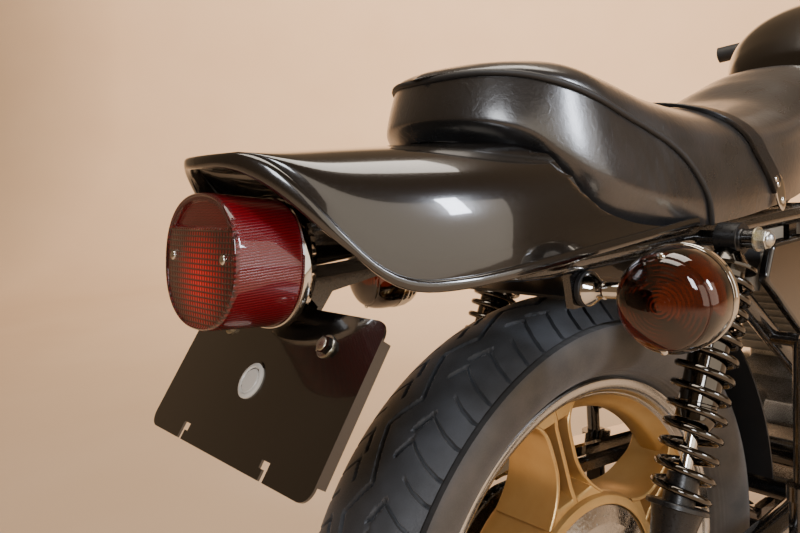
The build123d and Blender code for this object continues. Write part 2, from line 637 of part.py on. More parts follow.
def behind_plate(down, back):
    """A point in side view, this far down the plate holder and this far behind its face."""
    return (PLATE_TOP_X - down * math.sin(tilt) + back * math.cos(tilt),
            PLATE_TOP_Z - down * math.cos(tilt) - back * math.sin(tilt))


def behind_lamp(up, ahead):
    """A point in side view, this far up the lamp's base and this far ahead of its back."""
    lean_back = math.radians(LAMP_TILT_DEG)
    return (LAMP_X + up * math.sin(lean_back) + (BASE_T + ahead) * math.cos(lean_back),
            LAMP_Z + up * math.cos(lean_back) - (BASE_T + ahead) * math.sin(lean_back))


STEEL_T = 4.0
lamp_strap = side_plate([
    (-158, 402), (-158, 396), (-246, 394), (-296, 388), behind_plate(4, PLATE_T + 0.1 + STEEL_T),
    behind_plate(44, PLATE_T + 0.1 + STEEL_T), behind_plate(44, PLATE_T + 0.1), behind_plate(-3, PLATE_T + 0.1),
    behind_lamp(-20, STEEL_T), behind_lamp(-20, 0.1), behind_lamp(40, 0.1), behind_lamp(40, STEEL_T),
    behind_lamp(-12, STEEL_T), (-246, 400),
], -STRAP_HALF, STRAP_HALF)
put("plate_holder", sheet, *bolts, disc)
put("lamp_strap", lamp_strap - seat_frame)

# Turn signals: chromed shells with deep lenses on tapered stalks, the rear pair turned outwards
SIGNAL_R = 44.0
SHELL_BAND, SHELL_DEEP = 10.0, 36.0
LENS_BAND, LENS_REACH = 40.0, 55.0


def dome(r, x0, x1, x2):
    """A short cylinder from x0 to x1 along X that ends in a ball's cap reaching x2."""
    rise = abs(x2 - x1)
    ball = (r * r + rise * rise) / (2 * rise)
    hand = 1 if x2 > x1 else -1
    half_turn = math.asin(r / ball) / 2
    middle = (x2 - hand * ball * (1 - math.cos(half_turn)), ball * math.sin(half_turn))
    return revolve(make_face([
        Line((x0, 0), (x0, r)), Line((x0, r), (x1, r)), ThreePointArc((x1, r), middle, (x2, 0)), Line((x2, 0), (x0, 0)),
    ]), Axis.X, 360)


def signal(centre, facing, root, turn_deg=0.0):
    """Housing, lens and stalk of one lamp, facing forward or back and turned about its upright."""
    place = Pos(centre.X, centre.Y, centre.Z) * Rot(0, 0, turn_deg)
    shell = place * dome(SIGNAL_R, 0, -facing * SHELL_BAND, -facing * SHELL_DEEP)
    lens = place * dome(SIGNAL_R - 1, 0, facing * LENS_BAND, facing * LENS_REACH)
    turn = math.radians(turn_deg)
    out = Vector(facing * math.cos(turn), facing * math.sin(turn), 0)
    middle = centre - out * SHELL_DEEP / 2
    away = Vector(0, math.copysign(1, root.Y), 0)
    stalk = joined([cone(root, root + away * 20, 16, 10), rod(root + away * 16, middle, 9)])
    return joined([shell, stalk]), lens


REAR_SIGNAL = (-63.0, 190.0, 360.0)
REAR_TURN_DEG = 26.0
STALK_X = -74.0
signals, lenses = [], []
for side in (-1, 1):
    x, y, z = REAR_SIGNAL
    root = at(STALK_X, side * (RAIL_Y + 2.4), z)
    body, lens = signal(at(x, side * y, z), -1, root, -side * REAR_TURN_DEG)
    signals.append(body)
    lenses.append(lens)
put("rear_signals", *signals)
put("rear_signal_lenses", *lenses)

# Inner mudguard between the tyre and the engine
GUARD_R, GUARD_HALF = REAR_TYRE_R + 16, 74.0
arc_in, arc_out = GUARD_R, GUARD_R + 3


def wheel_arc(centre, r_in, r_out, half, start_deg, end_deg):
    """A strip round a wheel from one angle to another, measured forward of straight up."""
    points = []
    for r, a0, a1 in ((r_in, start_deg, end_deg), (r_out, end_deg, start_deg)):
        row = [(centre.X + r * math.sin(math.radians(a)), centre.Z + r * math.cos(math.radians(a)))
               for a in (a0, (a0 + a1) / 2, a1)]
        points.append(row)
    (ia, ib, ic), (oa, ob, oc) = points
    plane = Plane(origin=(0, -half, 0), x_dir=(1, 0, 0), z_dir=(0, -1, 0))
    face = make_face([ThreePointArc(ia, ib, ic), Line(ic, oa), ThreePointArc(oa, ob, oc), Line(oc, ia)])
    return extrude(plane * face, amount=2 * half, dir=(0, 1, 0))


put("rear_mudguard", joined([
    wheel_arc(REAR, arc_in, arc_out, GUARD_HALF, -9, 84),
    *[box(74, 96, *sorted((side * 66, side * 74)), 338, RAIL_Z - 12) for side in (-1, 1)],
    *[box(74, 96, *sorted((side * 66, side * 92)), RAIL_Z - 14, RAIL_Z - 10) for side in (-1, 1)],
]) - seat_frame)

# Chain, its wheels and guard
FRONT_SPROCKET_Z = -14.0
PITCH = 15.875


def chain_line(r_extra):
    """Outline points round both sprockets, alternately high at a pin and low between pins."""
    rear_r, front_r = SPROCKET_R + r_extra, FRONT_SPROCKET_R + r_extra
    span = Vector(FRONT_SPROCKET_X, 0, FRONT_SPROCKET_Z)
    dist = span.length
    heading = math.atan2(span.Z, span.X)
    lean = math.acos((rear_r - front_r) / dist)
    top, low = heading + lean, heading - lean
    points = []

    def arc(cx, cz, r, a0, a1):
        steps = max(4, round(abs(a1 - a0) * (r - r_extra) / PITCH))
        for i in range(steps):
            a = a0 + (a1 - a0) * i / steps
            points.append((cx + r * math.cos(a), cz + r * math.sin(a)))

    def run(ax, az, bx, bz):
        steps = round(math.hypot(bx - ax, bz - az) / PITCH)
        for i in range(steps):
            points.append((ax + (bx - ax) * i / steps, az + (bz - az) * i / steps))

    arc(0, 0, rear_r, top, low + 2 * math.pi)
    run(rear_r * math.cos(low), rear_r * math.sin(low), FRONT_SPROCKET_X + front_r * math.cos(low),
        FRONT_SPROCKET_Z + front_r * math.sin(low))
    arc(FRONT_SPROCKET_X, FRONT_SPROCKET_Z, front_r, low, top)
    run(FRONT_SPROCKET_X + front_r * math.cos(top), FRONT_SPROCKET_Z + front_r * math.sin(top),
        rear_r * math.cos(top), rear_r * math.sin(top))
    return points


links = []
for y0, y1 in ((CHAIN_Y - 8, CHAIN_Y - 5), (CHAIN_Y + 5, CHAIN_Y + 8)):
    outer_face = side_plate(chain_line(7), y0, y1)
    inner_face = side_plate(chain_line(-6), y0 - 1, y1 + 1)
    links.append(outer_face - inner_face)
heading = math.atan2(FRONT_SPROCKET_Z, FRONT_SPROCKET_X)
lean = math.acos((SPROCKET_R - FRONT_SPROCKET_R) / math.hypot(FRONT_SPROCKET_X, FRONT_SPROCKET_Z))
for sign in (-1, 1):
    a = heading + sign * lean
    ax, az = SPROCKET_R * math.cos(a), SPROCKET_R * math.sin(a)
    bx, bz = FRONT_SPROCKET_X + FRONT_SPROCKET_R * math.cos(a), FRONT_SPROCKET_Z + FRONT_SPROCKET_R * math.sin(a)
    count = 8
    for i in range(1, count):
        x, z = ax + (bx - ax) * (i + 0.5) / (count + 1), az + (bz - az) * (i + 0.5) / (count + 1)
        links.append(across(4, x, CHAIN_Y - 6, CHAIN_Y + 6, z))
put("chain", joined(links))
put("chain_guard", joined([
    side_plate([(-20, 116), (40, 122), (430, 74), (444, 56), (440, 54), (428, 70), (40, 118), (-18, 112)], 76, 104),
    side_plate([(-20, 116), (40, 122), (430, 74), (444, 56), (425, 40), (60, 92), (-16, 102)], 102, 104),
    box(180, 210, 99, 103, 12, 90), box(380, 400, 99, 103, 12, 60),
]) - swing_arm)

# Engine: four cylinders across the frame, leaning forward
ENGINE_X, ENGINE_Z, ENGINE_LEAN_DEG = 845.0, -20.0, 10.0
CASE_HALF = 150.0
engine_at = at(ENGINE_X, 0, ENGINE_Z)
engine_place = Pos(engine_at.X, 0, engine_at.Z) * Rot(0, ENGINE_LEAN_DEG, 0)
CASE_TOP, BARREL_TOP, COVER_TOP = 96.0, 204.0, 350.0
BARREL_HALF, BARREL_LONG = 206.0, 84.0
FIN_PITCH = 11.0


def block(x0, x1, y_half, z0, z1, round_r=0.0):
    """A block in the leaning frame of the cylinders, with rounded upright edges."""
    shape = Pos((x0 + x1) / 2, 0, (z0 + z1) / 2) * Box(x1 - x0, 2 * y_half, z1 - z0)
    if round_r:
        shape = fillet(shape.edges().filter_by(Axis.Z), round_r)
    return shape


def fins(x0, x1, y_half, z0, z1):
    """A stack of cooling fins between two heights."""
    count = int((z1 - z0) / FIN_PITCH)
    stack = []
    for i in range(count):
        z = z0 + (i + 0.5) * (z1 - z0) / count
        stack.append(block(x0, x1, y_half, z - FIN_T / 2, z + FIN_T / 2, 14))
    return stack


case_outline = [(592, -86), (592, 22), (616, 50), (700, 66), (758, 86), (948, 53), (1000, 34), (1013, 10), (1013, -92),
                (984, -142), (940, -158), (700, -158), (640, -132)]
crankcase = side_plate(case_outline, -CASE_HALF, CASE_HALF)
crankcase = fillet(crankcase.edges().filter_by(Axis.Y), 9)
crankcase = joined([crankcase, engine_place * block(-84, 84, 168, 62, CASE_TOP, 12)])
# Covers: x, z, radius, reach on the right, reach on the left
COVERS = [
    (712, -48, 92, -196, 0), (ENGINE_X, ENGINE_Z, 62, -216, 0), (ENGINE_X, ENGINE_Z, 84, 0, 216), (742, -70, 54, 0, 178),
]
for x, z, r, right, left in COVERS:
    y0, y1 = (right, -CASE_HALF + 1) if right else (CASE_HALF - 1, left)
    cover = across(r, x, y0, y1, z)
    rim = cover.edges().filter_by(GeomType.CIRCLE).sort_by(Axis.Y)[0 if right else -1]
    crankcase = joined([crankcase, fillet(rim, 12)])
sprocket_bay = side_plate([(540, -70), (540, 42), (650, 60), (650, -90)], 60, 108)
crankcase -= sprocket_bay
drive_wheel = sprocket(FRONT_SPROCKET_R, 17, 10, CHAIN_Y - 4, CHAIN_Y + 4, at(FRONT_SPROCKET_X, 0, FRONT_SPROCKET_Z))
crankcase = joined([crankcase, across(14, FRONT_SPROCKET_X, CHAIN_Y - 30, CHAIN_Y + 10, FRONT_SPROCKET_Z), drive_wheel])
put("engine_cases", crankcase - main_frame)

barrel = [block(-BARREL_LONG + 10, BARREL_LONG - 10, BARREL_HALF - 14, CASE_TOP, BARREL_TOP, 12)]
barrel += fins(-BARREL_LONG, BARREL_LONG, BARREL_HALF, CASE_TOP + 8, BARREL_TOP - 2)
put("engine_barrels", engine_place * joined(barrel))
head = [
    block(-78, 78, BARREL_HALF - 12, BARREL_TOP, 262, 12),
    *fins(-BARREL_LONG, BARREL_LONG, BARREL_HALF, BARREL_TOP + 4, 252),
]
roof = make_face(Polyline((-88, 258), (88, 258), (88, 282), (60, COVER_TOP - 14), (36, COVER_TOP), (-36, COVER_TOP),
                          (-60, COVER_TOP - 14), (-88, 282), close=True))
cam_box = extrude(Plane.XZ * roof, amount=176, both=True)
head.append(fillet(cam_box.edges().filter_by(Axis.Y), 8))
INTAKE = Vector(-0.985, 0, 0.17).normalized()
OUTLET = Vector(0.996, 0, -0.09).normalized()
for y in BORES_Y:
    head.append(rod(Vector(-100, y, 250) - INTAKE * 28, (-100, y, 250), 24))
    head.append(rod(Vector(96, y, 231) - OUTLET * 24, (96, y, 231), 23))
put("engine_head", engine_place * joined(head))

# Carburettors with their cone filters, one behind each port
carbs, filters = [], []
for y in BORES_Y:
    mouth = Vector(-100, y, 250) + INTAKE * 0.1

    def along(d):
        return mouth + INTAKE * d

    parts = [rod(along(0), along(18), 24), rod(along(18), along(66), 27), rod(along(66), along(76), 30)]
    well = along(42)
    parts.append(rod(well + Vector(0, 0, -50), well + Vector(0, 0, -14), 22))
    parts.append(rod(well + Vector(0, 0, 14), well + Vector(0, 0, 52), 20))
    carbs.append(joined(parts))
    filters.append(cone(along(76.3), along(136), 36, 29))
tie = Vector(-100.3 - 40, 0, 288)
carbs.append(rod(tie + Vector(0, -172, 0), tie + Vector(0, 172, 0), 5))
put("carburettors", engine_place * joined(carbs))
put("air_filters", *[engine_place * f for f in filters])

# Exhaust: four downpipes into one silencer on the right
PIPE_R = 18.0
port_x, port_z = 96.1, 231.0
lean = math.radians(ENGINE_LEAN_DEG)
fall = math.tan(lean + math.atan2(0.09, 0.996))
port = engine_at + Vector(port_x * math.cos(lean) + port_z * math.sin(lean), 0,
                          port_z * math.cos(lean) - port_x * math.sin(lean))
PORT_RUN = 66.0
COLLECT_Y = [-128, -84, 44, 88]
pipes = []
for y, low_y in zip(BORES_Y, COLLECT_Y):
    start = port + Vector(0, y, 0)
    pipes.append(pipe([
        start, start + Vector(PORT_RUN, 0, -PORT_RUN * fall), at(1098, (low_y + y) / 2, -20), at(1058, low_y, -228),
        at(930, low_y * 0.9, -231), at(790, -66 + low_y * 0.2, -232), at(720, -78, -231),
    ], PIPE_R, [40, 90, 60, 70, 40]))
collector = [cone(at(800, -68, -232), at(700, -84, -232), 40, 30),
             pipe([at(712, -82, -232), at(640, -124, -229), at(560, -160, -186)], 26, 60)]
exhaust_pipes = joined([*pipes, *collector])
put("exhaust_pipes", exhaust_pipes)
SILENCER_R = 44.0
tail_a, tail_b = at(560, -160, -186), at(90, -205, -104)
way = (tail_b - tail_a).normalized()
long = (tail_b - tail_a).length
silencer = joined([
    cone(tail_a + way * 0.3, tail_a + way * 70, 28, SILENCER_R),
    rod(tail_a + way * 70, tail_a + way * (long - 60), SILENCER_R),
    cone(tail_a + way * (long - 60), tail_a + way * long, SILENCER_R, 26),
])
silencer -= rod(tail_a + way * (long - 40), tail_a + way * (long + 10), 20)
hanger = side_plate([(396, -112), (420, -112), (508, -38), (494, -24)], -138, -132)
silencer = joined([
    silencer, rod(at(408, -134, -104), at(408, -165, -150), 8), hanger, across(7, 499, -138, -131.5, -32),
])
silencer = joined([s for s in (silencer - exhaust_pipes).solids() if s.volume > 9000])
put("silencer", silencer)

# Rider's footrests and pedals
FOOT_X, FOOT_Z = 452.0, -22.0
rests, pedals = [], []
for side in (-1, 1):
    inner = side * (PLATE_Y + FRAME_PLATE + 0.1)
    p0, p1 = sorted((inner, inner + side * 7))
    plate = side_plate([
        (430, -40), (436, 0), (498, 34), (540, 40), (552, 20), (548, -20), (500, -44), (452, -48),
    ], p0, p1)
    plate -= across(14, PIVOT_X, *sorted((side * 100, side * 180)), PIVOT_Z)
    r0, r1 = sorted((inner + side * 6, side * 244))
    rubber = across(13, FOOT_X, *sorted((side * 152, side * 240)), FOOT_Z)
    rests.append(joined([plate, across(9, FOOT_X, r0, r1, FOOT_Z), rubber]))
    toe = 608
    lever_y0, lever_y1 = sorted((side * 153, side * 160))
    arm_plate = side_plate([(536, -4), (538, 12), (toe, 6), (toe + 3, -8), (552, -14)], lever_y0, lever_y1)
    boss = across(9, 541, *sorted((inner + side * 7.1, side * 160)), 2)
    toe_pad = across(8, toe - 4, *sorted((side * 158, side * 196)), -1)
    pedals.append(joined([arm_plate, boss, toe_pad]))
put("footrests", *rests)
put("foot_levers", *pedals)

# Folded passenger rest on its hanger, one on each side
PEG = [(262, 250), (262, 70)]
hangers = []
for side in (-1, 1):
    y = side * 146
    top, low = at(PEG[0][0], y, PEG[0][1]), at(PEG[1][0], y, PEG[1][1])
    foot = at(PEG[1][0], y, PEG[1][1] - 70)
    hangers.append(joined([
        rod(top, low, 9), rod(low, foot, 14), rod(low + Vector(0, 0, 8), low - Vector(0, 0, 10), 17),
        across(8, PEG[0][0], *sorted((side * (STRUT_Y - 4), y)), PEG[0][1]),
        rod(at(PEG[0][0] + 24, y, 200), at(PEG[0][0] + 24, y, 110), 13),
        box(PEG[0][0], PEG[0][0] + 24, *sorted((y - 5, y + 5)), 108, 120),
        box(PEG[0][0], PEG[0][0] + 24, *sorted((y - 5, y + 5)), 190, 202),
    ]) - seat_frame)
put("passenger_rests", *hangers)

# Centre stand, down: two splayed legs, feet, a brace and a tread lever on the left
stand = [across(15, STAND_X, -96.6, 96.6, STAND_Z)]
FOOT_AHEAD, FOOT_SPREAD = 30.0, 122.0
for side in (-1, 1):
    foot = at(STAND_X + FOOT_AHEAD, side * FOOT_SPREAD, GROUND + 8)
    stand.append(rod(at(STAND_X, side * 76, STAND_Z), foot, 13))
    f0, f1 = sorted((side * (FOOT_SPREAD - 24), side * (FOOT_SPREAD + 26)))
    stand.append(soft_box(STAND_X + FOOT_AHEAD - 32, STAND_X + FOOT_AHEAD + 24, f0, f1, GROUND, GROUND + 9, 3))
stand.append(across(10, STAND_X + 9, -90, 90, STAND_Z - 66))
stand.append(rod(at(STAND_X + 24, 112, GROUND + 70), at(STAND_X - 66, 160, GROUND + 78), 8))
stand.append(rod(at(STAND_X - 64, 150, GROUND + 78), at(STAND_X - 70, 196, GROUND + 80), 9))
centre_stand = joined(stand) - across(STAND_PIN + RUNNING, STAND_X, -140, 140, STAND_Z)
put("centre_stand", centre_stand)

# Side stand, folded back along the left rail
SIDE_LONG = 196.0
side_stand = joined([
    rod(side_pivot + side_axis * EYE_HALF, side_pivot - side_axis * EYE_HALF, 17),
    rod(side_pivot + Vector(-12, 0, 0), side_pivot + Vector(-28, 0, 0), EYE_HALF - 0.7),
    rod(side_pivot + Vector(-26, 0, 0), side_pivot + Vector(-SIDE_LONG, 6, 0), 9),
    Pos(side_pivot.X - SIDE_LONG - 1, side_pivot.Y + 6, side_pivot.Z - 1) * Box(8, 48, 38),
]) - rod(side_pivot + side_axis * 20, side_pivot - side_axis * 20, 5 + RUNNING)
put("side_stand", side_stand)

# Fork: sliders with the axle, stanchions, yokes and stem
AXLE_CAP = FORK_SPREAD + LEG_R + 6
legs = [across(AXLE_R, FRONT_X, -AXLE_CAP, AXLE_CAP, FRONT_Z)]
for side in (-1, 1):
    y = side * FORK_SPREAD
    legs.append(rod(fork_at(-22, FORK_OFFSET, y), fork_at(LEG_TOP - 14, FORK_OFFSET, y), LEG_R))
    legs.append(cone(fork_at(LEG_TOP - 14, FORK_OFFSET, y), fork_at(LEG_TOP, FORK_OFFSET, y), LEG_R, 21))
    legs.append(rod(fork_at(0, FORK_OFFSET, y), fork_at(TUBE_TOP, FORK_OFFSET, y), TUBE_R))
    legs.append(across(16, FRONT_X, *sorted((side * (FORK_SPREAD + LEG_R - 4), side * AXLE_CAP)), FRONT_Z))
    legs.append(across(15, FRONT_X, *sorted((side * 72.3, side * (FORK_SPREAD - LEG_R + 6))), FRONT_Z))
put("fork_legs", joined(legs))


def yoke(low, high, grow):
    """One clamp: a web round the stem and both stanchions."""
    base = Plane(origin=fork_at(low, 0), x_dir=(0, 1, 0), z_dir=fork_at(1, 0) - fork_at(0, 0))
    web = make_face(Polyline(
        (-FORK_SPREAD, -FORK_OFFSET - 22), (FORK_SPREAD, -FORK_OFFSET - 22), (FORK_SPREAD + 8, -FORK_OFFSET + 14),
        (22, 12), (-22, 12), (-FORK_SPREAD - 8, -FORK_OFFSET + 14), close=True))
    flip = 1 if base.y_dir.X < 0 else -1
    pieces = [extrude(base * (web if flip > 0 else mirror(web, Plane.XZ)), amount=high - low, dir=base.z_dir)]
    pieces.append(rod(fork_at(low, 0), fork_at(high, 0), 25))
    for side in (-1, 1):
        y = side * FORK_SPREAD
        pieces.append(rod(fork_at(low - grow, FORK_OFFSET, y), fork_at(high + grow, FORK_OFFSET, y), 27))
    solid = joined(pieces)
    for side in (-1, 1):
        y = side * FORK_SPREAD
        solid -= rod(fork_at(low - 30, FORK_OFFSET, y), fork_at(high + 30, FORK_OFFSET, y), TUBE_R)
    return solid


LOW_YOKE = (HEAD_LOW - YOKE_GAP - YOKE_T, HEAD_LOW - YOKE_GAP)
TOP_YOKE = (HEAD_HIGH + YOKE_GAP, HEAD_HIGH + YOKE_GAP + YOKE_T)
risers = []
for side in (-1, 1):
    y = side * 45
    risers.append(rod(fork_at(TOP_YOKE[1] - 2, BAR_AHEAD, y), fork_at(BAR_ALONG, BAR_AHEAD, y), 14))
    bar = fork_at(BAR_ALONG, BAR_AHEAD, 0)
    risers.append(rod(bar + Vector(0, y - 13, 0), bar + Vector(0, y + 13, 0), BAR_R + 8))
top = joined([yoke(*TOP_YOKE, 3), *risers])
top -= rod(fork_at(BAR_ALONG, BAR_AHEAD, -90), fork_at(BAR_ALONG, BAR_AHEAD, 90), BAR_R)
stem = rod(fork_at(LOW_YOKE[0], 0), fork_at(TOP_YOKE[1] + 12, 0), STEM_R)
put("yokes", joined([yoke(*LOW_YOKE, 6), top, stem]))

# Brake calipers behind the sliders
calipers = []
CALIPER_DEG = -62.0
DISC_GAP = 1.5
for side in (-1, 1):
    y_low, y_high = sorted((side * 48, side * 78))
    block_c = Pos(0, (y_low + y_high) / 2, 130) * Box(78, y_high - y_low, 60)
    block_c = fillet(block_c.edges().filter_by(Axis.Y), 14)
    gap_low, gap_high = sorted((side * (DISC_Y - DISC_GAP), side * (DISC_Y + DISC_T + DISC_GAP)))
    block_c -= Pos(0, (gap_low + gap_high) / 2, 100) * Box(120, gap_high - gap_low, 100)
    lug = Pos(34, side * 71, 110) * Box(56, 14, 26)
    shape = Pos(FRONT.X, 0, FRONT.Z) * Rot(0, CALIPER_DEG, 0) * joined([block_c, lug])
    calipers.append(shape)
front_legs = joined(legs)
put("front_calipers", *[joined([s for s in (c - front_legs).solids() if s.volume > 8000]) for c in calipers])

# Front mudguard and its stays
FENDER_R, FENDER_HALF = FRONT_TYRE_R + 20, 60.0
fender = [wheel_arc(FRONT, FENDER_R, FENDER_R + 3, FENDER_HALF, -60, 34)]
for side in (-1, 1):
    flank = wheel_arc(FRONT, FENDER_R - 16, FENDER_R + 1, 1.5, -60, 34)
    fender.append(flank.moved(Location((0, side * (FENDER_HALF - 1.5), 0))))
    t0, t1 = sorted((side * (FENDER_HALF - 1), side * (FENDER_HALF + 4)))
    u0, u1 = sorted((side * (FENDER_HALF + 1), side * (FORK_SPREAD - LEG_R + 4)))
    low, high = fork_at(FENDER_R - 67, FORK_OFFSET, 0), fork_at(FENDER_R - 41, FORK_OFFSET, 0)
    fender.append(Pos(high.X, (t0 + t1) / 2, high.Z) * Rot(0, -RAKE_DEG, 0) * Box(34, t1 - t0, 92))
    fender.append(Pos(low.X, (u0 + u1) / 2, low.Z) * Rot(0, -RAKE_DEG, 0) * Box(28, u1 - u0, 30))
put("front_mudguard", joined([s for s in (joined(fender) - front_legs).solids() if s.volume > 5000]))

# Handlebar, grips and hand controls
# Half of the bar: along the steering axis, ahead of it, half spread
BAR_POINTS = [(BAR_ALONG, BAR_AHEAD, 110), (BAR_ALONG + 12, BAR_AHEAD - 20, 158), (BAR_ALONG + 15, BAR_AHEAD - 74, 356)]
right_half = [fork_at(a, b, -y) for a, b, y in reversed(BAR_POINTS)]
left_half = [fork_at(a, b, y) for a, b, y in BAR_POINTS]
handlebar = pipe([*right_half, *left_half], BAR_R, 50)
END_BORE_R, END_BORE_L = 8.0, 60.0
ends = []
for points in (right_half[::-1], left_half):
    inner, outer = points[-2], points[-1]
    ends.append((outer, (outer - inner).normalized()))
for tip, way_out in ends:
    handlebar -= rod(tip - way_out * END_BORE_L, tip + way_out * 5, END_BORE_R)
put("handlebar", handlebar)
GRIP_R, GRIP_L = 16.5, 116.0
put("grips", *[
    rod(tip - way_out * (GRIP_L + 2), tip - way_out * 2, GRIP_R) - rod(tip - way_out * 200, tip + way_out * 5, BAR_R)
    for tip, way_out in ends
])
MIRROR_R, MIRROR_L = 5.0, 18.0
MOUTH_UP = 31.0
controls = []
for (tip, way_out), side in zip(ends, (-1, 1)):
    seat_at = tip - way_out * (GRIP_L + 3)
    housing = rod(seat_at - way_out * 32, seat_at, 19)
    perch_at = seat_at - way_out * 46
    perch = rod(perch_at - way_out * 11, perch_at + way_out * 11, 18)
    forward = Vector(math.cos(rake) * 0.94, side * 0.06, 0.2).normalized()
    pivot = perch_at + forward * 34
    arm_c = rod(perch_at + forward * 10, pivot, 10)
    lever_tip = tip + forward * 52 - way_out * 4
    reach = lever_tip - pivot
    blade = joined([rod(pivot, pivot + reach * 0.25, 8), rod(pivot + reach * 0.2, lever_tip, 6)])
    hole_mouth = perch_at + Vector(0, 0, MOUTH_UP)
    boss = rod(perch_at + Vector(0, 0, 6), hole_mouth, 11)
    knuckle = rod(pivot - Vector(0, 0, 11), pivot + Vector(0, 0, 11), 11)
    neck = rod(seat_at - way_out * 40, seat_at - way_out * 26, 15)
    pieces = [housing, perch, arm_c, knuckle, blade, boss, neck]
    if side < 0:
        cup = perch_at + forward * 26 + Vector(0, 18, 0)
        pieces.append(rod(cup + Vector(0, 0, 8), cup + Vector(0, 0, 46), 19))
        pieces.append(rod(perch_at + forward * 8, cup + Vector(0, 0, 12), 9))
    unit = joined(pieces)
    unit -= rod(tip - way_out * 260, tip + way_out * 5, BAR_R)
    unit -= rod(hole_mouth - Vector(0, 0, MIRROR_L), hole_mouth + Vector(0, 0, 2), MIRROR_R)
    controls.append(unit)
put("hand_controls", *controls)

# Headlamp with its ears, and the two instruments
HEADLAMP_R = 90.0
LAMP_BACK, LAMP_UP = 118.0, 556.0
lamp_at = Vector(FRONT.X - LAMP_BACK, 0, AXLE_Z + LAMP_UP)
bowl = Pos(lamp_at.X, 0, lamp_at.Z) * dome(HEADLAMP_R, 0, -44, -104)
rim_face = make_face(Polyline(
    (-12, 70), (9, 70), (9, HEADLAMP_R - 3), (3, HEADLAMP_R + 3), (-12, HEADLAMP_R + 3), close=True))
rim = Pos(lamp_at.X, 0, lamp_at.Z) * revolve(rim_face, Axis.X, 360)
bowl -= Pos(lamp_at.X, 0, lamp_at.Z) * dome(HEADLAMP_R - 4, 12, -40, -96)
ears = []
for side in (-1, 1):
    y = side * FORK_SPREAD
    tube_bore = rod(fork_at(520, FORK_OFFSET, y), fork_at(760, FORK_OFFSET, y), TUBE_R)
    ears.append(rod(fork_at(600, FORK_OFFSET, y), fork_at(700, FORK_OFFSET, y), 22) - tube_bore)
    mid = fork_at(650, FORK_OFFSET, y)
    ear_x, bolt_x = station(mid + Vector(12, 0, 0)), station(lamp_at - Vector(16, 0, 0))
    e0, e1 = sorted((side * (HEADLAMP_R - 2), side * (HEADLAMP_R + 8)))
    ear = side_plate([(ear_x + 4, 500), (ear_x - 4, 590), (bolt_x, 572), (bolt_x, 540)], e0, e1)
    ears.append(ear - tube_bore)
headlamp = joined([bowl, rim, *ears])
put("headlamp_shell", headlamp)
glass = Pos(lamp_at.X, 0, lamp_at.Z) * dome(HEADLAMP_R - 4.3, -8, 2, 18)
put("headlamp_glass", joined([s for s in (glass - headlamp).solids() if s.volume > 8000]))
dials = []
GAUGE_R = 38.0
for side in (-1, 1):
    y = side * 58
    low, high = fork_at(786, 108, y), fork_at(838, 94, y)
    dials.append(rod(low, high, GAUGE_R))
    dials.append(cone(fork_at(774, 110, y), low, 26, GAUGE_R - 6))
bracket = [
    rod(fork_at(780, 106, -58), fork_at(780, 106, 58), 7),
    rod(fork_at(TOP_YOKE[1] + 0.1, 68), fork_at(TOP_YOKE[1] + 16, 68), 9),
    rod(fork_at(TOP_YOKE[1] + 12, 66), fork_at(780, 108), 6),
]
put("instruments", joined([*dials, *bracket]))

# Front turn signals on the headlamp ears
signals, lenses = [], []
for side in (-1, 1):
    lamp = lamp_at + Vector(-72, side * 186, -8)
    body, lens = signal(lamp, 1, lamp_at + Vector(-96, side * (HEADLAMP_R + 8.1), -8))
    signals.append(body)
    lenses.append(lens)
put("front_signals", *signals)
put("front_signal_lenses", *lenses)
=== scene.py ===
# %% [markdown]
# A cafe racer motorcycle on its centre stand, dressed for a studio picture.
# The construction model gives every piece its size and place. This notebook adds the finishes, and it
# builds again, with finer curves, the pieces whose flowing shape or soft cover the eye looks at first.

# %% Load the frame
import math

import bmesh
import bpy
import numpy as np
from mathutils import Matrix, Vector


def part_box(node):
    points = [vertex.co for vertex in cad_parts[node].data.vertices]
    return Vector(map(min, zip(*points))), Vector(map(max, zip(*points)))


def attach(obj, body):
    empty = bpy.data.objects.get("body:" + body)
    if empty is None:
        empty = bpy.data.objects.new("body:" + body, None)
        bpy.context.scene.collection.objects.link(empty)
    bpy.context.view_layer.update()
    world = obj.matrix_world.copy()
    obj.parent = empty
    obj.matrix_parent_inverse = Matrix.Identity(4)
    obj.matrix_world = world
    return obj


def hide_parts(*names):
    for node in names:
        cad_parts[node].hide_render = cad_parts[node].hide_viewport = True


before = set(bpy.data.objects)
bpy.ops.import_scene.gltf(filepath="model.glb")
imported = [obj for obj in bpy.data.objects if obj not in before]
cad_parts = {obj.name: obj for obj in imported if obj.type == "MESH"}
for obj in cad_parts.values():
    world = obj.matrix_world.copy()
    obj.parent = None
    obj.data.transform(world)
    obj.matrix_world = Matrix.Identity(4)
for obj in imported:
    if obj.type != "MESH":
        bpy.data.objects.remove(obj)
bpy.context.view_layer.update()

# %% [markdown]
# Every place on the machine is given in millimetres from the rear axle: x forward, y to the left, z up.
# One function moves such points into the frame's metres, so that the tables below read like a drawing.

# %% Places from the rear axle
low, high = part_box("rear_wheel")
REAR_AXLE = np.array([(low.x + high.x) / 2, 0.0, (low.z + high.z) / 2])
low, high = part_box("front_wheel")
FRONT_AXLE = np.array([(low.x + high.x) / 2, 0.0, (low.z + high.z) / 2])
MM = 0.001
DEG = math.pi / 180


def place(points):
    """Millimetres from the rear axle become metres in the frame."""
    return np.asarray(points, float) * MM + REAR_AXLE


def unit(vectors):
    """Each vector divided by its own length."""
    vectors = np.asarray(vectors, float)
    return vectors / np.linalg.norm(vectors, axis=-1, keepdims=True)


